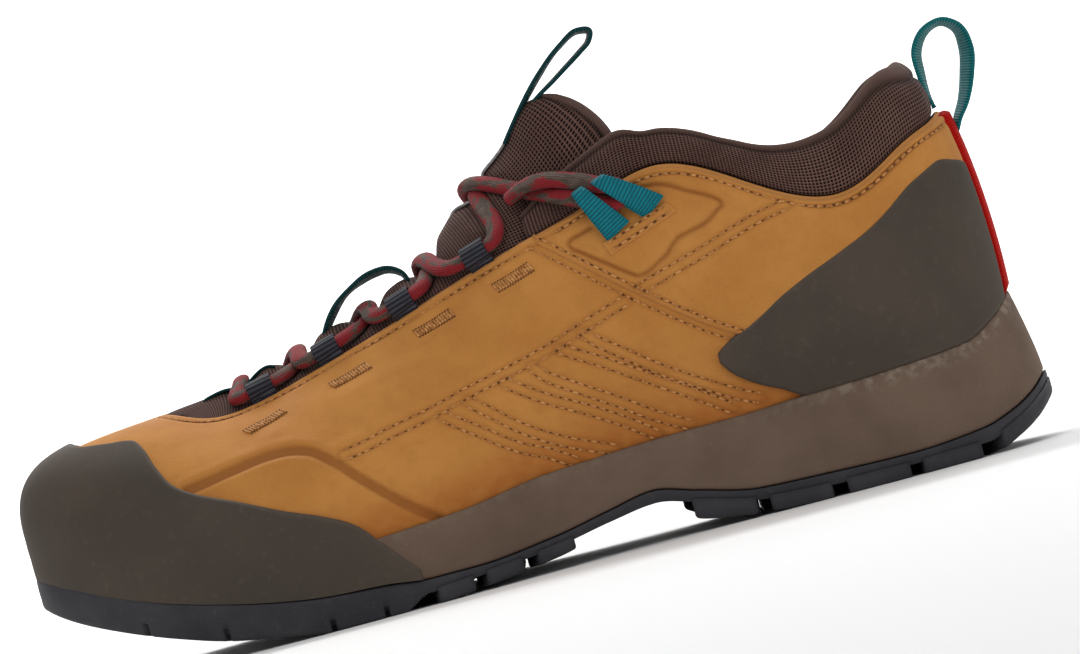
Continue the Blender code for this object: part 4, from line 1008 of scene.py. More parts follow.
def make_midsole(foam):
    """Foam cup with a soft edge. Its side swells a little and its rim shows wear behind."""
    around = fine_ring()
    rim = rim_share(around)
    lip = rim_lip(around)
    low = midsole_foot(around)
    high = off_wall(around, rim, lip)
    _, outwards = sole_edge(around, 0 * around)
    out = np.concatenate([outwards, np.zeros((len(around), 1))], 1)
    rings, wear = [], []
    for t in np.concatenate([[0.0, 0.02, 0.05], np.linspace(0.1, 0.93, 22), [0.97, 1.0]]):
        swell = 0.5 * math.sin(math.pi * t) - 0.5 * (1 - rounded(np.array(t * 14.0), 0.9))
        ring = (1 - t) * low + t * high + swell * out
        rings.append(ring + (0.12 * wobble(ring, 11.0, 6.0))[:, None] * out * math.sin(math.pi * t))
        wear.append(np.full(len(around), t))
    for turn in (40, 80, 120):
        a = math.radians(turn)
        share_out = (1 + math.cos(a)) / 2
        rings.append(off_wall(around, rim, lip * share_out + GAP * (1 - share_out))
                     + np.array([0.0, 0.0, 0.5 * math.sin(a)]))
        wear.append(np.ones(len(around)))
    corner = off_wall(around, 0 * around, np.full(len(around), GAP))
    corner[:, 2] -= GAP
    inside, _ = sole_edge(around, np.full(len(around), BED_INSET))
    rings += [off_wall(around, rim, 0 * around + GAP), corner, on_sole(inside, "bed")]
    wear += [np.zeros(len(around))] * 3
    mask = np.zeros((len(rings), len(around), 4))
    mask[..., 0] = np.array(wear)
    grid = np.array(rings)
    mask[..., 1] = smooth(grid[..., 0], 60.0, 115.0)
    piece = surface("midsole_foam", grid, False, True, (foam,), None, mask,
                    caps_along(len(rings), len(around)))
    return dress(piece, "foam", "midsole")


def make_insole(cloth):
    around = fine_ring()[::2]
    outline = off_wall(around, 0 * around, 0 * around - (WALL + 0.7))
    _, outwards = sole_edge(around, 0 * around)
    rings = []
    for inset, lift in ((0.6, 0.3), (0.0, 0.9), (0.0, INSOLE - 0.6), (0.5, INSOLE), (4.0, INSOLE - 0.3),
                        (9.0, INSOLE - 0.9), (14.0, INSOLE - 1.2)):
        ring = outline.copy()
        ring[:, :2] = outline[:, :2] - inset * outwards
        ring[:, 2] = sole_level("bed", outline[:, 0]) + lift
        rings.append(ring)
    piece = surface("footbed", np.array(rings), False, True, (cloth,), None, None,
                    caps_along(len(rings), len(around)))
    return dress(piece, "footbed", "insole")


# Small cuts in the edge of the outsole, as places along the shoe
SIPES = (-120.2, -97.7, -67.5, -51.9, 98.0, 132.5, 141.5)
SIPE_HALF = 0.55          # half width of a cut
SIPE_DEPTH = 1.5


def sipe_sections():
    """Evenly spaced sections round the sole, with a few more at each cut."""
    extra = []
    for x in SIPES:
        at = section_at(x)
        size = abs(float(np.interp(at, np.arange(HALF), np.abs(np.diff(LAST["x"])))))
        for step in (-1.6, -1.0, 1.0, 1.6):
            extra += [at + step * SIPE_HALF / size, TURN - at - step * SIPE_HALF / size]
    return np.unique(np.concatenate([fine_ring(), extra]))


def make_outsole(rubber):
    """Rubber unit: its edge under the toe is smooth with small cuts, and lugs stand under the rest."""
    around = sipe_sections()
    if len(around) % 2:
        around = np.delete(around, 1)
    plain, _ = sole_edge(around, 0 * around)
    toe_edge = np.interp(plain[:, 0], (-46.0, -40.0), (1.0, 0.0))
    cut = np.zeros(len(around))
    for x in SIPES:
        cut = np.maximum(cut, 1 - smooth(np.abs(plain[:, 0] - x), SIPE_HALF, SIPE_HALF * 1.5))
    cut = np.where(plain[:, 0] < 0, cut, 0)

    def ring(inset, lift, notch=0.0):
        edge, _ = sole_edge(around, np.full(len(around), inset) + notch * cut)
        low = sole_level("tread", edge[:, 0]) * toe_edge + sole_level("sheet", edge[:, 0]) * (1 - toe_edge)
        high = sole_level("joint", edge[:, 0])
        height = low + lift * (high - low) + notch * 1.1 * cut * (lift < 0.3)
        return np.concatenate([edge, height[:, None]], 1)

    # Inset, place between the lower and the upper edge, and depth of the cuts
    profile = [(0.9, 1.0, 0), (0.35, 0.99, 0), (0.05, 0.95, 0), (-0.05, 0.85, 0), (-0.1, 0.6, 0),
               (-0.05, 0.36, 0), (0.0, 0.33, SIPE_DEPTH), (0.0, 0.12, SIPE_DEPTH), (0.25, 0.03, SIPE_DEPTH),
               (0.9, 0.0, SIPE_DEPTH), (2.4, 0.0, SIPE_DEPTH), (2.6, 0.0, 0), (BAND - 0.6, 0.0, 0)]
    rings = [ring(*row) for row in profile]
    step, _ = sole_edge(around, np.full(len(around), BAND + 1.5))
    rings.append(on_sole(step, "sheet"))
    grid = np.array(rings)
    points, faces = [grid.reshape(-1, 3)], grid_faces(len(rings), len(around), False, True)[0].tolist()
    for ends, flip in caps_along(len(rings), len(around)):
        faces += ladder_cap(ends, flip)
    start = grid.shape[0] * grid.shape[1]
    for plan in lug_plans():
        made, cells = lug_block(plan, start)
        points.append(made)
        faces += cells
        start += len(made)
    piece = add_object("outsole_rubber", np.concatenate(points), faces, finishes=(rubber,))
    face_outwards(piece)
    return dress(piece, "tread_rubber", "outsole")


def lug_plans():
    """Outline in plan of every lug: along the edge, behind the heel, and in the middle."""
    made = []
    spans = [(section_at(end), section_at(start)) for start, end in EDGE_LUGS] + [(0.12, section_at(131.0))]
    for start, end in spans:
        for a, b in ((start, end), (TURN - end, TURN - start)):
            line_out = np.linspace(a, b, max(8, round((b - a) / 0.06)))
            near, _ = sole_edge(line_out, np.full(len(line_out), LUG_OUT + 0.2))
            far, _ = sole_edge(line_out[::-1], np.full(len(line_out), LUG_IN))
            made.append(np.concatenate([near, far]))
    for x, y, length, width, slant in INNER_LUGS:
        corners = np.array([(x - length / 2 + slant, y - width / 2), (x + length / 2 + slant, y - width / 2),
                            (x + length / 2 - slant, y + width / 2), (x - length / 2 - slant, y + width / 2)])
        made.append(np.concatenate([a + (b - a) * np.linspace(0, 1, 6)[:-1, None]
                                    for a, b in zip(corners, np.roll(corners, -1, 0))]))
    return made


def lug_block(plan, start):
    """Block with a softened lower edge under the sole."""
    middle = plan.mean(0)
    rings = []
    for inset, lift in ((0.9, 0.0), (0.3, 0.15), (0.0, 0.7)):
        ring = plan - inset * unit(plan - middle)
        rings.append(np.concatenate([ring, sole_level("tread", ring[:, :1]) + lift], 1))
    rings.append(on_sole(plan, "sheet", 1.0))
    count = len(plan)
    faces = grid_faces(len(rings), count, False, True, start)[0].tolist()
    faces += [list(range(start + count - 1, start - 1, -1)),
              list(range(start + (len(rings) - 1) * count, start + len(rings) * count))]
    return np.concatenate(rings), faces


# Padded pieces

COLLAR_COLUMNS = 420
COLLAR_FRONT_ROW = 36     # a row of the collar's grid that faces outwards
INNER_SEAM = 7.4          # of the collar's binding, where the outer one has its own places


def make_collar(cloth):
    """Padded cuff: a binding along its top, a seam under it, and a swell between the seams."""
    sections = np.linspace(-COLLAR_END, COLLAR_END, COLLAR_COLUMNS)
    near = np.abs(sections)
    top = wall(sections, 1.0)
    _, up, out = wall_frame(sections, NEAR_EDGE)

    def column(name):
        return level(COLLAR["section"], COLLAR[name], near)

    height, thick, foot, belly = column("height"), column("thick"), column("foot"), column("belly")
    depth = np.interp(near, (4.5, COLLAR_END), (COLLAR_DEPTH, 6.0))
    inside = -(WALL + 2 * GAP)
    knots = (
        (inside - 1.2, -depth), (inside - 0.6, -0.5 * depth), (inside, 0.5), (foot, 0.9 + 0 * foot),
        (belly + 0.5, 0.4 * height), (belly - 0.1 * thick, 0.8 * height), (belly - 0.5 * thick, height),
        (belly - 0.95 * thick, 0.82 * height), (inside - thick, 0.3 * height),
        (inside - thick, -0.45 * depth), (inside - 0.5 * thick, -depth),
    )
    rings = np.array([top + np.broadcast_to(o, sections.shape)[:, None] * out
                      + np.broadcast_to(u, sections.shape)[:, None] * up for o, u in knots])
    count = len(knots)
    fine = np.arange(0, count, 0.125)
    grid = np.stack([closed_curve(values)(fine) for values in rings.reshape(count, -1).T], 1)
    grid = grid.reshape(len(fine), len(sections), 3)
    away = grid_normals(grid, False)
    if (away[COLLAR_FRONT_ROW] * out).sum() < 0:
        away = -away
    # The binding has a seam outside, between two knots, and a second one inside
    row = fine[:, None]
    seam_place = np.interp(near, (0.0, 1.3, 2.1, 3.0, COLLAR_END), (4.6, 4.8, 5.2, 5.3, 5.2))
    seam = trough(row - seam_place, 0.16) + trough(row - INNER_SEAM, 0.2)
    binding = smooth(row, seam_place, seam_place + 0.12) * (1 - smooth(row, 7.3, 7.5))
    quilt = 0.35 * wobble(grid, 6.0, 3.0) * smooth(row, 3.2, 3.8) * (1 - smooth(row, 4.2, 4.5))
    tuck = np.exp(-((near - 5.15) / 0.12) ** 2) + 0.6 * np.exp(-((near - 4.3) / 0.15) ** 2)
    relief = (-0.75 * seam + 0.25 * binding + quilt
              - 0.5 * tuck * smooth(row, 3.0, 4.0) * (1 - smooth(row, 8, 9)))
    relief = relief * smooth(row, 2.9, 3.6) * (1 - smooth(row, 9.0, 9.6))
    grid = grid + relief[..., None] * away
    middle = COLLAR_COLUMNS // 2
    around = np.concatenate([arc_lengths(grid[:, middle:middle + 1], 0)[:, 0], [0]])
    around[-1] = around[-2] + 0.7
    along = arc_lengths(wall(sections[None, :], 1.0), 1)[0]
    # The first mask is painted shade in the seam's trough; the second marks the binding's own cloth.
    mask = channels(0.8 * seam, binding, 0.0, 0.0)
    piece = surface("collar_padding", grid, True, False, (cloth,), (around, along), mask,
                    caps_across(len(fine), len(sections)))
    return dress(piece, "mesh", "collar")


TONGUE_COLUMNS = 81
MIDDLE_COLUMN = TONGUE_COLUMNS // 2
TONGUE_FINE_ROWS = 230
FACING_ROW = 120          # a row of the tongue that faces upwards
WIDTH_ROW = 190           # the row along which its mesh is measured
SOFTNESS = 1.4            # how sharply the padding turns from its full swell to the laces that hold it


def fine_tongue():
    """The tongue's front face with many rows and columns, and the row number of each."""
    face = tongue_face(np.linspace(-1, 1, TONGUE_COLUMNS))
    rows = np.linspace(0, len(face) - 1, TONGUE_FINE_ROWS)
    made = np.stack([natural_curve(np.arange(len(face)), face[:, k], rows) for k in range(face.shape[1])], 1)
    return made, rows


def lace_distance(grid):
    """Distance from each point of a grid to the nearest lace."""
    laces = np.concatenate([path[::2] for path, _ in lace_paths()])
    best = np.full(grid.shape[:2], 1e9)
    for start in range(0, len(laces), 40):
        apart = grid[:, :, None, :] - laces[None, None, start:start + 40]
        best = np.minimum(best, np.linalg.norm(apart, axis=-1).min(-1))
    return best


def swelled_tongue():
    """The tongue's front as the laces leave it, its back, its seam and binding, and the way outwards."""
    face, rows = fine_tongue()
    out = grid_normals(face, False)
    if out[FACING_ROW, MIDDLE_COLUMN, 2] < 0:
        out = -out
    across = np.linspace(-1, 1, face.shape[1])[None, :]
    row = rows[:, None]
    thick = np.interp(rows, np.arange(len(TONGUE_ROWS["thick"])), TONGUE_ROWS["thick"])[:, None]
    edge = rounded(border_distance(face), 2.6)
    arch = np.cos(across * math.pi / 2)
    full = 6.2 * arch ** 1.3 * smooth(row, 2.0, 3.0) * (1 - smooth(row, 7.4, 9.2))
    full = full + 3.9 * arch * smooth(row, -0.6, 0.5) * (1 - smooth(row, 2.0, 3.0))
    room = np.maximum(lace_distance(face) - 0.34 * LACE, 0.0)
    swell = -np.log(np.exp(-SOFTNESS * full) + np.exp(-SOFTNESS * room)) / SOFTNESS
    swell = np.maximum(swell, 0.0) + 2.8 * arch * trough(row - 9.8, 1.1)
    top = from_top_row(face)
    binding = 1 - smooth(top, 2.4, 3.0)
    seam = trough(top - 3.2, 0.6)
    relief = swell + 0.25 * wobble(face, 7.0, 2.0) - 0.6 * seam + 0.15 * binding
    front = face + (relief - 0.5 * thick * (1 - edge))[..., None] * out
    back = face - (thick * (0.5 + 0.5 * edge))[..., None] * out
    return face, front, back, seam, binding, out, rows


def make_tongue(cloth):
    """Padded tongue: soft at its edges, with a binding round its top."""
    face, front, back, seam, binding, _, _ = swelled_tongue()
    along = arc_lengths(face, 0)[:, MIDDLE_COLUMN]
    width = arc_lengths(face, 1)[WIDTH_ROW]
    # The first mask is painted shade in the seam's trough; the second marks the binding's own cloth.
    mask = channels(0.8 * seam, binding, 0.0, 0.0)
    piece = shell("tongue_padding", front, back, (cloth,), (along, width), mask)
    return dress(piece, "mesh", "tongue")


# Straps and the lace

# Section of a strap, as shares of its half width and half thickness, with rounded selvedges
STRAP_SECTION = (
    (-1.0, 0.0), (-0.985, 0.7), (-0.88, 1.0), (-0.5, 1.0), (0.0, 1.0), (0.5, 1.0), (0.88, 1.0), (0.985, 0.7),
    (1.0, 0.0), (0.985, -0.7), (0.5, -1.0), (0.0, -1.0), (-0.5, -1.0), (-0.985, -0.7),
)


def band(name, path, side, widths, thickness, finish, slot_name, nodes):
    """Woven strap along a path. side is the way across it."""
    along = unit(np.gradient(path, axis=0))
    side = unit(side - (side * along).sum(-1, keepdims=True) * along)
    face = unit(np.cross(along, side))
    widths = np.broadcast_to(widths, (len(path),))[:, None]
    half = thickness / 2
    grid = np.stack([path + a * widths / 2 * side + b * half * face for a, b in STRAP_SECTION])
    length = arc_lengths(path[None], 1)[0]
    places = np.array([a for a, _ in STRAP_SECTION] + [-1.0]) * float(widths.mean()) / 2
    piece = surface(name, grid, True, False, (finish,), (places, length), np.zeros(grid.shape[:2] + (4,)),
                    caps_across(len(grid), len(path)))
    return dress(piece, slot_name, *nodes)


def make_pull_loop(name, route, finish, node, width, tilt, count=120):
    """Webbing along a route in the middle plane. It lies across the shoe, tilted to the inner side."""
    path = smooth_path([(x, 0.0, z) for x, z in route], count)
    along = unit(np.gradient(path, axis=0))
    at = np.linspace(0, 1, count)[:, None]
    turn = tilt * np.sin(math.pi * at) ** 0.6 * (1 - 0.6 * trough(at - 0.45, 0.13))
    normal = np.stack([along[:, 2], 0 * along[:, 0], -along[:, 0]], -1)
    side = np.cos(turn) * np.array([[0.0, 1.0, 0.0]]) + np.sin(turn) * normal
    return band(name, path, side, width, WEBBING, finish, "teal_webbing", (node,))


def make_dark_loop(side_name, number, section, finish):
    """Ribbed webbing that comes from under the leather's edge, round the lace and back."""
    edge, heelwards, up, out = loop_frame(section)
    count, radius_up, radius_out = 90, 3.0, 2.4
    knots = [(-3.0, -2.7), (-0.6, -2.2)]
    for turn in np.radians(np.linspace(-150, 150, 11)):
        knots.append((LOOP_REACH + radius_up * math.cos(turn), LOOP_HEIGHT + radius_out * math.sin(turn)))
    knots += [(0.0, 0.2), (-3.0, -1.3)]
    path = smooth_path([edge + u * up + o * out for u, o in knots], count)
    lean = 0.16 * np.linspace(-1, 1, count)[:, None] * up
    return band(f"lace_loop_webbing_{side_name}_{number}", path, heelwards + lean, LOOP_WIDTH - 0.2, 1.0,
                finish, "dark_webbing", (f"lace_loop_{side_name}_{number}",))


# Base of each top loop in the side view, x and z, and the end of its base line towards the heel
TOP_LOOP_BASES = (((50.2, 94.4), (54.2, 95.8)), ((39.0, 90.6), (43.0, 92.2)))
TOP_EYES = ((5.60, -1.0, 5.2), (5.86, -1.2, 5.2))     # section, reach and height of the lace in each


def make_top_loop(side_name, number, outer_side, finish):
    """Folded webbing that narrows from the stitched strip to the lace."""
    place, reach, height = TOP_EYES[number - 1]
    eye, heelwards = lace_eye(on_side(place, outer_side), reach, height)
    base, corner = TOP_LOOP_BASES[number - 1]
    foot, away = on_leather(*base, outer_side, 0.0, True)
    beyond, _ = on_leather(*corner, outer_side, 0.0, True)
    foot, away, beyond = foot[0], away[0], beyond[0]
    ahead = unit(eye - foot)
    under = foot - 1.5 * ahead
    radius = LACE * 0.42 + 0.9
    count = 100
    knots = [under + 0.9 * away, foot + 1.9 * away, foot + 0.5 * (eye - foot) + 4.0 * away]
    for turn in np.radians(np.linspace(75, -75, 7)):
        knots.append(eye + radius * 1.15 * math.cos(turn) * ahead + radius * math.sin(turn) * away)
    knots += [foot + 0.5 * (eye - foot) + 0.4 * away, foot + 0.75 * away, under + 0.3 * away]
    path = smooth_path(knots, count)
    middle = np.abs(np.linspace(-1, 1, count))[:, None]
    side = (1 - middle) * heelwards + middle * unit(beyond - foot)
    widths = 3.2 + 5.4 * middle[:, 0] ** 0.8
    return band(f"top_loop_webbing_{side_name}_{number}", path, side, widths, 0.9, finish,
                "teal_webbing", (f"top_loop_{side_name}_{number}",))


def lace_paths():
    """The middle line of each strand, in even steps."""
    made = []
    for starts_outside in (False, True):
        path = curve_through(lace_route(starts_outside), 14)
        length = arc_lengths(path[None], 1)[0]
        at = np.linspace(0, length[-1], int(length[-1] / 0.8))
        path = at_lengths(at, length, path)
        for _ in range(4):
            path[1:-1] = (path[:-2] + 2 * path[1:-1] + path[2:]) / 4
        made.append((path, at))
    return made


LACE_GIRTH = 16.0         # length of the lace's pattern round it
STRAND_SHIFT = 200.0      # of the pattern from strand to strand, so that they differ


def make_lace(finish):
    """Two strands of flat tubular lace that pass over and under each other along the tongue."""
    turns = np.linspace(0, 2 * math.pi, 17)[:-1] - math.pi / 2
    eyes = np.array([lace_eye(section, LOOP_REACH, LOOP_HEIGHT)[0]
                     for place in LACE_LOOPS for section in (place, TURN - place)])
    for number, (path, at) in enumerate(lace_paths(), 1):
        along = unit(np.gradient(path, axis=0))
        spine = np.stack([path[:, 0] + 12.0, 0 * path[:, 0], path[:, 2] * 0.72 - 8.0], -1)
        away = path - spine
        away = unit(away - (away * along).sum(-1, keepdims=True) * along)
        side = np.cross(along, away)
        near_eye = np.linalg.norm(path[:, None] - eyes[None], axis=-1).min(1)
        squeeze = (1 - 0.2 * trough(near_eye, 4.5))[:, None]
        wide, thick = LACE * 0.51 * squeeze, LACE * 0.34 * squeeze
        grid = np.stack([path + wide * math.cos(t) * side + thick * math.sin(t) * away for t in turns])
        around = np.linspace(0, LACE_GIRTH, len(turns) + 1)
        piece = surface(f"lace_strand_{number}", grid, True, False, (finish,),
                        (around, at + STRAND_SHIFT * number), None, caps_across(len(turns), len(path)))
        dress(piece, "lace", "lace")


# Stitches

# A stitch's rings: place along it, radius, and how far it is sunk, as shares of its length and radius
CAPSULE_SIDES = 6
CAPSULE = ((-0.5, 0.45, -0.5), (-0.36, 0.85, -0.1), (0.0, 1.0, 0.0), (0.36, 0.85, -0.1), (0.5, 0.45, -0.5))


def capsules(centres, along, away, length, radius, flatten=1.0):
    """Points and faces of small rounded rods, one for each centre, sunk at their ends."""
    along = unit(along)
    away = unit(away - (away * along).sum(-1, keepdims=True) * along)
    side = np.cross(along, away)
    turns = np.arange(CAPSULE_SIDES) * 2 * math.pi / CAPSULE_SIDES
    rings = []
    for place, size, sink in CAPSULE:
        middle = centres + place * length * along + sink * radius * away
        rings.append(np.stack([middle + size * radius * (math.cos(t) * side + flatten * math.sin(t) * away)
                               for t in turns], 1))
    points = np.stack(rings, 1)
    count = len(centres)
    each = len(CAPSULE) * CAPSULE_SIDES
    cells = grid_faces(len(CAPSULE), CAPSULE_SIDES, False, True)[0].tolist()
    cells += [list(range(CAPSULE_SIDES)), list(range(each - CAPSULE_SIDES, each))]
    faces = [[number + each * k for number in cell] for k in range(count) for cell in cells]
    return points.reshape(-1, 3), faces


def evenly(points, pitch):
    """Places along a line at an even pitch."""
    length = arc_lengths(points[None], 1)[0]
    count = max(2, int(length[-1] / pitch))
    return at_lengths((np.arange(count) + 0.5) * length[-1] / count, length, points)


PITCH = 2.7               # from stitch to stitch
THREAD = 0.42             # radius of the sewing thread


def side_rows(outer_side):
    """Every row of stitches on one side: points on the leather, directions and the way outwards."""
    made = []

    def follow(points, quarter, lift=0.0):
        place = evenly(points, PITCH)
        here, away = on_leather(place[:, 0], place[:, 1], outer_side, lift, quarter)
        made.append((here, np.gradient(here, axis=0), away))

    for points in (MAIN_SEAM,) + BRANCHES:
        follow(beside(points, PAIR), False)
        follow(beside(points, -PAIR), False)
    follow(beside(QUARTER_SEAM, -BESIDE_SEAM)[:-2], False)
    follow(beside(QUARTER_SEAM, BESIDE_SEAM), True)
    follow(beside(UPPER_PAIR, PAIR), True)
    follow(beside(UPPER_PAIR, -PAIR), True)
    for start, end, lift in ((STRIP_HALF + 0.15, 6.3, OVER_QUARTER), (6.6, 13.4, 0.0)):
        sections = on_side(np.linspace(start, end, 400), outer_side)
        share = below_edge(sections, EDGE_ROW)
        path = off_wall(sections, share, np.full(len(sections), lift - 0.1))
        away = wall_frame(sections, share)[2]
        place = evenly(np.concatenate([path, away], 1), PITCH)
        made.append((place[:, :3], np.gradient(place[:, :3], axis=0), place[:, 3:]))
    corners = np.array(STRIP_CORNERS)
    for share in (0.22, 0.78):
        a = corners[0] + (corners[3] - corners[0]) * share
        b = corners[1] + (corners[2] - corners[1]) * share
        follow(a + (b - a) * np.linspace(0.04, 0.96, 20)[:, None], True, STRIP_LIFT + 0.05)
    return made


def make_stitches(side_name, outer_side, thread, holes):
    """All stitches of a side as one piece, and dark capsules between them, painted shade at the needle holes,
    as another.
    """
    stitches, needle_hole_shadows = ([], []), ([], [])

    def gather(store, made, cells):
        points, faces = store
        start = sum(len(block) for block in points)
        points.append(made)
        faces.extend([n + start for n in cell] for cell in cells)

    for centre, along, away in side_rows(outer_side):
        gather(stitches, *capsules(centre + 0.08 * away, along, away, PITCH * 0.72, THREAD, 0.8))
        between = (centre[:-1] + centre[1:]) / 2
        # Dark capsules between the stitches: painted shade at the needle holes.
        gather(needle_hole_shadows, *capsules(between, np.diff(centre, axis=0), away[1:], 1.15, 0.36, 0.45))
    for bx, bz in BARTACKS:
        steps = np.linspace(-5.6, 5.6, 14)
        x, z = bx + steps, bz + BARTACK_SLOPE * steps
        here, away = on_leather(x, z, outer_side, 0.25)
        along = np.gradient(here, axis=0)
        across = np.cross(unit(along), away) + 0.25 * unit(along)
        gather(stitches, *capsules(here, across, away, 3.4, 0.47, 0.8))
        # Painted shade at the needle holes at both ends of each bar.
        for way in (-1, 1):
            gather(needle_hole_shadows, *capsules(here + way * 1.7 * unit(across), across, away, 0.6, 0.3, 0.5))
    for name, (points, faces), finish in ((f"stitches_{side_name}", stitches, thread),
                                          (f"needle_hole_shadows_{side_name}", needle_hole_shadows, holes)):
        piece = add_object(name, np.concatenate(points), faces, finishes=(finish,))
        face_outwards(piece)
        dress(piece, "nubuck")


def make_loop_strip(side_name, outer_side, leather):
    """Narrow leather strip that holds the ends of the top loops."""
    corners = np.array(STRIP_CORNERS)
    u, v = np.meshgrid(spread(40), spread(10))
    flat = ((1 - v)[..., None] * ((1 - u)[..., None] * corners[0] + u[..., None] * corners[1])
            + v[..., None] * ((1 - u)[..., None] * corners[3] + u[..., None] * corners[2]))
    here, away = on_leather(flat[..., 0].ravel(), flat[..., 1].ravel(), outer_side, 0.0, True)
    here, away = here.reshape(flat.shape[:2] + (3,)), away.reshape(flat.shape[:2] + (3,))
    border = border_distance(here)
    lift = STRIP_LIFT * rounded(border, 0.7) - 0.1 * trough(border - 1.2, 0.5)
    # The last mask is a painted highlight along the edges.
    mask = channels(0.0, 0.0, 0.0, 1 - smooth(border, 0.2, 0.7))
    piece = shell(f"loop_strip_{side_name}", here + lift[..., None] * away, here - 0.5 * away, (leather,),
                  None, mask)
    return dress(piece, "nubuck")


def make_ridge_tape(name, finish, low, high, lift, width):
    """Tape that shows along the middle of the tongue, between two of its rows."""
    _, front, _, _, _, out, rows = swelled_tongue()
    keep = (rows > low) & (rows < high)
    ends = np.sin(np.linspace(0, math.pi, keep.sum()))[:, None] ** 0.5
    path = front[keep, MIDDLE_COLUMN] + (lift - 1.2 * (1 - ends)) * out[keep, MIDDLE_COLUMN]
    side = np.broadcast_to(np.array([0.0, 1.0, 0.0]), path.shape)
    return band(name, path, side, width, 0.9, finish, "mesh", ())


# Materials

class Paint:
    """A material's nodes, added one call at a time."""

    def __init__(self, name, roughness, sheen=0.0, sheen_roughness=0.5, specular=0.4):
        self.made = bpy.data.materials.new(name)
        self.made.use_nodes = True
        self.nodes = self.made.node_tree.nodes
        self.links = self.made.node_tree.links
        self.shader = self.nodes["Principled BSDF"]
        self.shader.inputs["Roughness"].default_value = roughness
        self.shader.inputs["Sheen Weight"].default_value = sheen
        self.shader.inputs["Sheen Roughness"].default_value = sheen_roughness
        self.shader.inputs["Specular IOR Level"].default_value = specular
        self.place = self.nodes.new("ShaderNodeTexCoord").outputs["Object"]

    def feed(self, socket, value):
        if isinstance(value, bpy.types.NodeSocket):
            self.links.new(value, socket)
        else:
            socket.default_value = value

    def math(self, operation, a, b=0.0, c=0.0):
        node = self.nodes.new("ShaderNodeMath")
        node.operation = operation
        for socket, value in zip(node.inputs, (a, b, c)):
            self.feed(socket, value)
        return node.outputs[0]

    def noise(self, size, detail=3.0, vector=None):
        """Uneven value about 0.5, with lumps of a size in millimetres."""
        node = self.nodes.new("ShaderNodeTexNoise")
        node.inputs["Scale"].default_value = 1.0 / (size * MM) if vector is None else 1.0 / size
        node.inputs["Detail"].default_value = detail
        self.links.new(self.place if vector is None else vector, node.inputs["Vector"])
        return node.outputs["Fac"]

    def between(self, value, low, high, out_low=0.0, out_high=1.0):
        node = self.nodes.new("ShaderNodeMapRange")
        node.interpolation_type = "SMOOTHSTEP"
        for socket, item in zip(node.inputs, (value, low, high, out_low, out_high)):
            self.feed(socket, item)
        return node.outputs["Result"]

    def mix(self, factor, a, b):
        node = self.nodes.new("ShaderNodeMix")
        node.data_type = "RGBA"
        self.feed(node.inputs["Factor"], factor)
        for socket, value in ((node.inputs["A"], a), (node.inputs["B"], b)):
            self.feed(socket, (*value, 1.0) if isinstance(value, tuple) else value)
        return node.outputs["Result"]

    def tint(self, colour, where, share, other):
        """A colour with a share of another where a value says."""
        return self.mix(self.math("MULTIPLY", where, share), colour, other)

    def pebbles(self, fine, coarse):
        """Fine bumps over coarse ones, each as size, detail, distance and strength."""
        small = self.noise(*fine[:2])
        return self.bump(small, *fine[2:], self.bump(self.noise(*coarse[:2]), *coarse[2:]))

    def cloth(self):
        """Places along the columns and the rows of a woven piece, in millimetres."""
        node = self.nodes.new("ShaderNodeUVMap")
        node.uv_map = "cloth"
        split = self.nodes.new("ShaderNodeSeparateXYZ")
        self.links.new(node.outputs["UV"], split.inputs[0])
        return node.outputs["UV"], split.outputs["X"], split.outputs["Y"]

    def masks(self):
        node = self.nodes.new("ShaderNodeAttribute")
        node.attribute_name = "mask"
        split = self.nodes.new("ShaderNodeSeparateColor")
        self.links.new(node.outputs["Color"], split.inputs[0])
        return split.outputs[0], split.outputs[1], split.outputs[2], node.outputs["Alpha"]

    def wave(self, value, pitch, shift=0.0):
        """Sine of a place, one whole wave for each pitch in millimetres."""
        turned = self.math("MULTIPLY_ADD", value, 2 * math.pi / pitch, shift)
        return self.math("SINE", turned)

    def bump(self, height, distance, strength=1.0, under=None):
        node = self.nodes.new("ShaderNodeBump")
        node.inputs["Strength"].default_value = strength
        node.inputs["Distance"].default_value = distance * MM
        self.feed(node.inputs["Height"], height)
        if under is not None:
            self.links.new(under, node.inputs["Normal"])
        return node.outputs["Normal"]

    def finish(self, colour, normal=None, roughness=None):
        self.feed(self.shader.inputs["Base Color"], (*colour, 1.0) if isinstance(colour, tuple) else colour)
        if normal is not None:
            self.links.new(normal, self.shader.inputs["Normal"])
        if roughness is not None:
            self.links.new(roughness, self.shader.inputs["Roughness"])
        return self.made


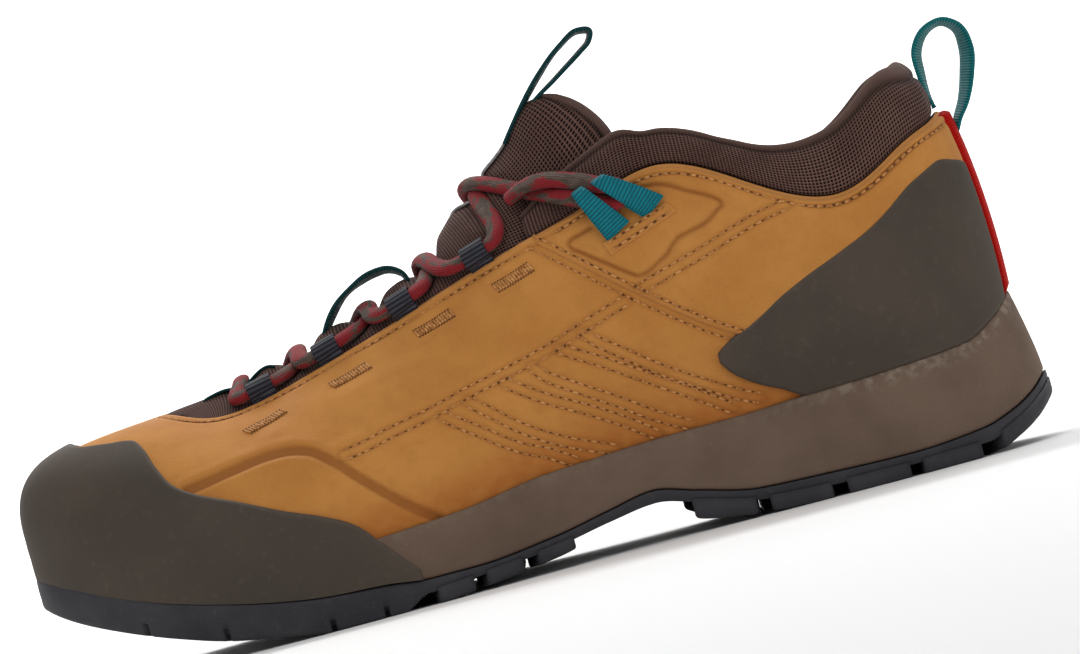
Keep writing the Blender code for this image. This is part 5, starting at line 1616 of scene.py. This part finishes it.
def nubuck():
    """Brushed leather: a cloudy tan with a fine nap, darker towards the midsole rim, with painted shade in
    its grooves and along its rows of stitches, and a painted highlight along its edges.
    """
    paint = Paint("nubuck", 0.8, sheen=0.06, sheen_roughness=0.45, specular=0.14)
    shade, groove, near_rim_darkening, lip = paint.masks()
    clouds = paint.noise(26.0, 4.0)
    mottle = paint.noise(4.5, 5.0)
    nap = paint.noise(0.55, 4.0)
    colour = paint.mix(paint.between(clouds, 0.32, 0.68), (0.47, 0.19, 0.040), (0.54, 0.235, 0.057))
    colour = paint.tint(colour, paint.between(mottle, 0.42, 0.75), 0.4, (0.43, 0.165, 0.038))
    colour = paint.tint(colour, paint.between(nap, 0.35, 0.7), 0.16, (0.64, 0.30, 0.085))
    # Darker towards the midsole rim, patchy with the mottle.
    low = paint.math("MULTIPLY", near_rim_darkening, paint.between(mottle, 0.2, 0.7, 0.55, 0.95))
    colour = paint.mix(low, colour, (0.40, 0.13, 0.026))
    # Painted shade along the rows of stitches and beside the quarter's seam.
    colour = paint.tint(colour, shade, 0.8, (0.27, 0.09, 0.018))
    # Painted shade in the embossed grooves.
    colour = paint.tint(colour, groove, 0.72, (0.27, 0.09, 0.02))
    # Painted highlight along the folded and rounded edges.
    colour = paint.tint(colour, lip, 0.3, (0.62, 0.30, 0.10))
    grain = paint.bump(paint.noise(1.3, 6.0), 0.14, 0.8)
    normal = paint.bump(nap, 0.05, 0.8, grain)
    return paint.finish(colour, normal, paint.between(clouds, 0.3, 0.7, 0.72, 0.88))


def rubber(name, dark, light, roughness):
    """Matt rubber with a little dust, paler at its rounded edges: a painted highlight."""
    paint = Paint(name, roughness, specular=0.2)
    _, _, _, lip = paint.masks()
    clouds = paint.noise(30.0, 5.0)
    colour = paint.mix(paint.between(clouds, 0.3, 0.7), dark, light)
    colour = paint.tint(colour, paint.between(paint.noise(2.2, 6.0), 0.55, 0.8), 0.12, (0.2, 0.16, 0.13))
    # Painted highlight along the rounded edges.
    colour = paint.tint(colour, lip, 0.22, (0.16, 0.13, 0.105))
    normal = paint.pebbles((0.5, 3.0, 0.03, 0.7), (6.0, 4.0, 0.1, 0.5))
    return paint.finish(colour, normal, paint.between(clouds, 0.3, 0.7, roughness - 0.06, roughness + 0.06))


def foam():
    """Moulded foam with a pebbled side, rubbed pale along its rim at the heel."""
    paint = Paint("foam", 0.78, specular=0.2)
    rise, behind, _, _ = paint.masks()
    clouds = paint.noise(22.0, 4.0)
    colour = paint.mix(paint.between(clouds, 0.3, 0.7), (0.130, 0.086, 0.062), (0.165, 0.112, 0.080))
    rubbed = paint.math("MULTIPLY", paint.between(rise, 0.78, 0.98),
                        paint.between(paint.noise(2.6, 6.0), 0.42, 0.66))
    rubbed = paint.math("MULTIPLY", rubbed, paint.between(behind, 0.0, 1.0, 0.15, 0.75))
    colour = paint.mix(rubbed, colour, (0.27, 0.215, 0.165))
    colour = paint.tint(colour, paint.between(paint.noise(0.9, 2.0), 0.66, 0.74), 0.3, (0.25, 0.2, 0.16))
    return paint.finish(colour, paint.pebbles((0.8, 3.0, 0.08, 0.7), (7.0, 3.0, 0.15, 0.4)))


def tread():
    paint = Paint("tread", 0.68, specular=0.4)
    clouds = paint.between(paint.noise(16.0, 5.0), 0.3, 0.7)
    colour = paint.mix(clouds, (0.020, 0.019, 0.024), (0.034, 0.032, 0.038))
    colour = paint.tint(colour, paint.between(paint.noise(1.6, 6.0), 0.56, 0.8), 0.18, (0.11, 0.1, 0.1))
    return paint.finish(colour, paint.pebbles((0.6, 3.0, 0.05, 0.8), (5.0, 3.0, 0.12, 0.4)))


MESH_PITCH = (1.1, 1.0)   # of the holes across and up the knitted mesh


def knit(name, thread, thread_light, hole_shade, binding):
    """Spacer mesh: staggered holes between threads, painted in shade, with a plain binding where the mask
    says; painted shade lies in the seams and between the binding's ribs.
    """
    paint = Paint(name, 0.9, sheen=0.08, sheen_roughness=0.4, specular=0.12)
    seam, edge, _, _ = paint.masks()
    _, u, v = paint.cloth()
    across = paint.math("COSINE", paint.math("MULTIPLY", u, math.pi / MESH_PITCH[0]))
    up = paint.math("COSINE", paint.math("MULTIPLY", v, math.pi / MESH_PITCH[1]))
    cells = paint.math("ABSOLUTE", paint.math("MULTIPLY", across, up))
    holes = paint.between(cells, 0.30, 0.62)
    plain = paint.math("SUBTRACT", 1.0, edge)
    holes = paint.math("MULTIPLY", holes, plain)
    tone = paint.between(paint.noise(14.0, 4.0), 0.3, 0.7)
    colour = paint.mix(tone, thread, thread_light)
    bright = tuple(1.6 * value for value in thread_light)
    colour = paint.tint(colour, paint.between(paint.noise(0.4, 2.0), 0.4, 0.7), 0.35, bright)
    # Painted shade in the holes: near black where they are.
    colour = paint.mix(holes, colour, hole_shade)
    ribs = paint.wave(u, 0.55)
    # The binding is darker between its ribs: painted shade.
    edge_colour = paint.mix(paint.between(ribs, -1.0, 1.0), binding, tuple(0.72 * value for value in binding))
    colour = paint.mix(edge, colour, edge_colour)
    # Painted shade in the seam's trough.
    colour = paint.tint(colour, seam, 0.75, (0.012, 0.008, 0.006))
    height = paint.math("SUBTRACT", 1.0, holes)
    normal = paint.bump(paint.math("MULTIPLY", ribs, edge), 0.06, 0.6, paint.bump(height, 0.35, 0.9))
    return paint.finish(colour, normal)


def webbing(name, dark, light, pitch):
    """Ribbed tape: rounded ribs across it, thin and pale at their crests, a painted highlight, with painted
    shade between them.
    """
    paint = Paint(name, 0.62, sheen=0.03, sheen_roughness=0.4, specular=0.2)
    _, u, v = paint.cloth()
    rib = paint.between(paint.wave(u, pitch), -1.0, 1.0)
    fine = paint.between(paint.wave(v, 0.55), -1.0, 1.0)
    crest = paint.math("MULTIPLY", rib, paint.math("MULTIPLY_ADD", fine, 0.5, 0.5))
    # Painted highlight on the crests of the bump and painted shade in the troughs.
    colour = paint.mix(paint.between(crest, 0.1, 0.9), dark, light)
    colour = paint.tint(colour, paint.between(paint.noise(3.0, 4.0), 0.4, 0.7), 0.3, dark)
    return paint.finish(colour, paint.bump(crest, 0.22, 0.9))


def lace_cloth():
    """Braided lace in patches of red and grey-brown, with plaited yarns."""
    paint = Paint("lace", 0.7, sheen=0.05, sheen_roughness=0.4, specular=0.2)
    place, u, v = paint.cloth()
    stretch = paint.nodes.new("ShaderNodeMapping")
    stretch.inputs["Scale"].default_value = (0.10, 0.26, 1.0)
    paint.links.new(place, stretch.inputs["Vector"])
    patches = paint.noise(0.9, 2.0, stretch.outputs[0])
    second = paint.noise(0.45, 2.0, stretch.outputs[0])
    one_way = paint.wave(paint.math("MULTIPLY_ADD", v, 0.9, u), 1.35)
    other_way = paint.wave(paint.math("MULTIPLY_ADD", v, -0.9, u), 1.35)
    yarn = paint.between(paint.math("MULTIPLY", one_way, other_way), -0.6, 0.7)
    jagged = paint.math("MULTIPLY_ADD", yarn, 0.05, patches)
    red = paint.between(jagged, 0.49, 0.53)
    colour = paint.mix(paint.between(second, 0.4, 0.6), (0.085, 0.060, 0.045), (0.14, 0.10, 0.075))
    colour = paint.mix(red, colour, (0.30, 0.010, 0.017))
    # Painted shade between the plaited yarns.
    colour = paint.tint(colour, paint.math("SUBTRACT", 1.0, yarn), 0.45, (0.045, 0.018, 0.016))
    return paint.finish(colour, paint.bump(yarn, 0.2, 0.9))


def tape():
    paint = Paint("red_tape", 0.8, specular=0.05)
    _, _, v = paint.cloth()
    ribs = paint.between(paint.wave(v, 0.9), -1.0, 1.0)
    # Painted shade between the ribs, the same wave as the bump.
    colour = paint.mix(ribs, (0.34, 0.006, 0.004), (0.50, 0.010, 0.006))
    return paint.finish(colour, paint.bump(ribs, 0.1, 0.7))


def plain_cloth(name, dark, light, size=0.7):
    paint = Paint(name, 0.9, sheen=0.2, specular=0.2)
    weave = paint.noise(size, 3.0)
    colour = paint.mix(paint.between(weave, 0.3, 0.7), dark, light)
    return paint.finish(colour, paint.bump(weave, 0.12, 0.8))


def thread_finish(name, dark, light):
    paint = Paint(name, 0.65, specular=0.3)
    colour = paint.mix(paint.between(paint.noise(1.1, 3.0), 0.35, 0.65), dark, light)
    return paint.finish(colour, paint.bump(paint.noise(0.25, 2.0), 0.05, 0.7))


# Camera, light and floor

ROLL = math.radians(14.8)   # of the camera, which lays the shoe as in the photo
# In metres
VIEW_DISTANCE = 1.8
VIEW_WIDTH = 0.3164       # across the picture at the shoe's middle
AIM = (0.0082, 0.0, 0.0689)
FLOOR_FRONT, FLOOR_HALF_WIDTH = -2.6, 3.2
BACK = 2.4                # from the shoe to the bend of the backdrop
BEND = 0.5                # radius of the bend
BACKDROP_TOP = 2.4


def make_camera():
    data = bpy.data.cameras.new("camera")
    data.sensor_width = 36.0
    data.lens = data.sensor_width * VIEW_DISTANCE / VIEW_WIDTH
    data.clip_end = 20.0
    made = bpy.data.objects.new("camera", data)
    right = Vector((math.cos(ROLL), 0.0, -math.sin(ROLL)))
    up = Vector((math.sin(ROLL), 0.0, math.cos(ROLL)))
    back = Vector((0.0, -1.0, 0.0))
    made.matrix_world = Matrix.Translation(Vector(AIM) + VIEW_DISTANCE * back) @ Matrix(
        (right, up, back)).transposed().to_4x4()
    bpy.context.scene.collection.objects.link(made)
    bpy.context.scene.camera = made


def area_light(name, place, aim, size, power):
    data = bpy.data.lights.new(name, "AREA")
    data.shape = "RECTANGLE"
    data.size, data.size_y = size
    data.energy = power
    made = bpy.data.objects.new(name, data)
    place = Vector(place)
    turn = (place - Vector(aim)).to_track_quat("Z", "Y")
    made.matrix_world = Matrix.Translation(place) @ turn.to_matrix().to_4x4()
    bpy.context.scene.collection.objects.link(made)


def make_stage():
    """Pale floor that bends up behind the shoe, under soft light from above and both sides."""
    profile = [(FLOOR_FRONT, 0.0), (BACK, 0.0)]
    profile += [(BACK + BEND * math.sin(a), BEND * (1 - math.cos(a)))
                for a in np.linspace(0.1, math.pi / 2, 16)]
    profile.append((BACK + BEND, BACKDROP_TOP))
    points = [(x, y, z) for y, z in profile for x in (-FLOOR_HALF_WIDTH, FLOOR_HALF_WIDTH)]
    faces = [(2 * k, 2 * k + 1, 2 * k + 3, 2 * k + 2) for k in range(len(profile) - 1)]
    mesh = bpy.data.meshes.new("floor")
    mesh.from_pydata(points, [], faces)
    mesh.shade_smooth()
    floor = bpy.data.objects.new("floor", mesh)
    bpy.context.scene.collection.objects.link(floor)
    paint = Paint("floor", 0.9, specular=0.2)
    mesh.materials.append(paint.finish((0.92, 0.92, 0.92)))

    world = bpy.data.worlds.new("studio")
    world.use_nodes = True
    background = world.node_tree.nodes["Background"]
    background.inputs["Color"].default_value = (1.0, 1.0, 1.0, 1.0)
    background.inputs["Strength"].default_value = 0.42
    bpy.context.scene.world = world
    area_light("key", (-0.15, -1.0, 1.3), (0.0, 0.0, 0.05), (1.2, 1.2), 4.5)
    area_light("fill", (0.9, -1.3, 0.55), (0.0, 0.0, 0.06), (1.2, 1.0), 1.8)
    area_light("top", (0.1, 0.3, 1.5), (0.0, 0.0, 0.05), (1.8, 1.4), 3.9)
    area_light("backdrop", (0.0, BACK - 0.9, 2.0), (0.0, BACK, 0.1), (3.0, 1.0), 90.0)
    bpy.context.scene.view_settings.view_transform = "Standard"


def main():
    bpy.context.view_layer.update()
    make_camera()
    make_stage()
    leather = nubuck()
    lining = plain_cloth("lining", (0.045, 0.03, 0.023), (0.075, 0.05, 0.037))
    toe = rubber("rand_rubber", (0.060, 0.047, 0.036), (0.078, 0.060, 0.046), 0.72)
    mesh = knit("brown_mesh", (0.105, 0.053, 0.042), (0.150, 0.082, 0.066), (0.012, 0.005, 0.004),
                (0.125, 0.072, 0.059))
    teal = webbing("teal_webbing", (0.0, 0.10, 0.13), (0.0, 0.27, 0.34), 1.05)
    loop_teal = webbing("loop_teal", (0.0, 0.10, 0.11), (0.0, 0.28, 0.29), 0.8)
    shade_teal = webbing("shade_teal", (0.0, 0.025, 0.028), (0.0, 0.085, 0.09), 0.8)
    dark = webbing("dark_webbing", (0.010, 0.010, 0.014), (0.060, 0.062, 0.085), 1.15)
    thread = thread_finish("thread", (0.36, 0.14, 0.03), (0.62, 0.30, 0.10))
    # Dark brown for the painted shade at the needle holes.
    holes = thread_finish("needle_hole_shadows", (0.11, 0.036, 0.008), (0.17, 0.06, 0.014))
    pale = plain_cloth("ridge_tape", (0.22, 0.21, 0.21), (0.42, 0.41, 0.41), 0.9)

    make_outsole(tread())
    make_midsole(foam())
    make_insole(plain_cloth("footbed_cloth", (0.03, 0.03, 0.034), (0.07, 0.07, 0.078)))
    make_upper(leather, lining)
    make_toe_rand(toe)
    make_heel_strip(tape())
    lace = lace_cloth()
    for side, outer_side in (("inner", False), ("outer", True)):
        make_heel_rand(side, outer_side, toe)
        make_quarter(side, outer_side, leather)
        make_loop_strip(side, outer_side, leather)
        make_stitches(side, outer_side, thread, holes)
        for number, section in enumerate(LACE_LOOPS, 1):
            make_dark_loop(side, number, on_side(section, outer_side), dark)
        for number in (1, 2):
            make_top_loop(side, number, outer_side, teal)
    make_collar(mesh)
    make_tongue(mesh)
    make_ridge_tape("tongue_ridge_tape", pale, 7.3, 9.4, 0.5, 7.0)
    make_ridge_tape("tongue_toe_tape", shade_teal, 1.45, 3.0, 0.5, 7.0)
    make_pull_loop("heel_loop_webbing", HEEL_LOOP, loop_teal, "heel_pull_loop", 9.2, 0.42)
    make_pull_loop("tongue_loop_webbing", TONGUE_LOOP, shade_teal, "tongue_pull_loop", 9.0, 0.13)
    make_pull_loop("keeper_webbing", KEEPER_LOOP, shade_teal, "tongue_keeper", 9.0, 0.22)
    make_lace(lace)


main()
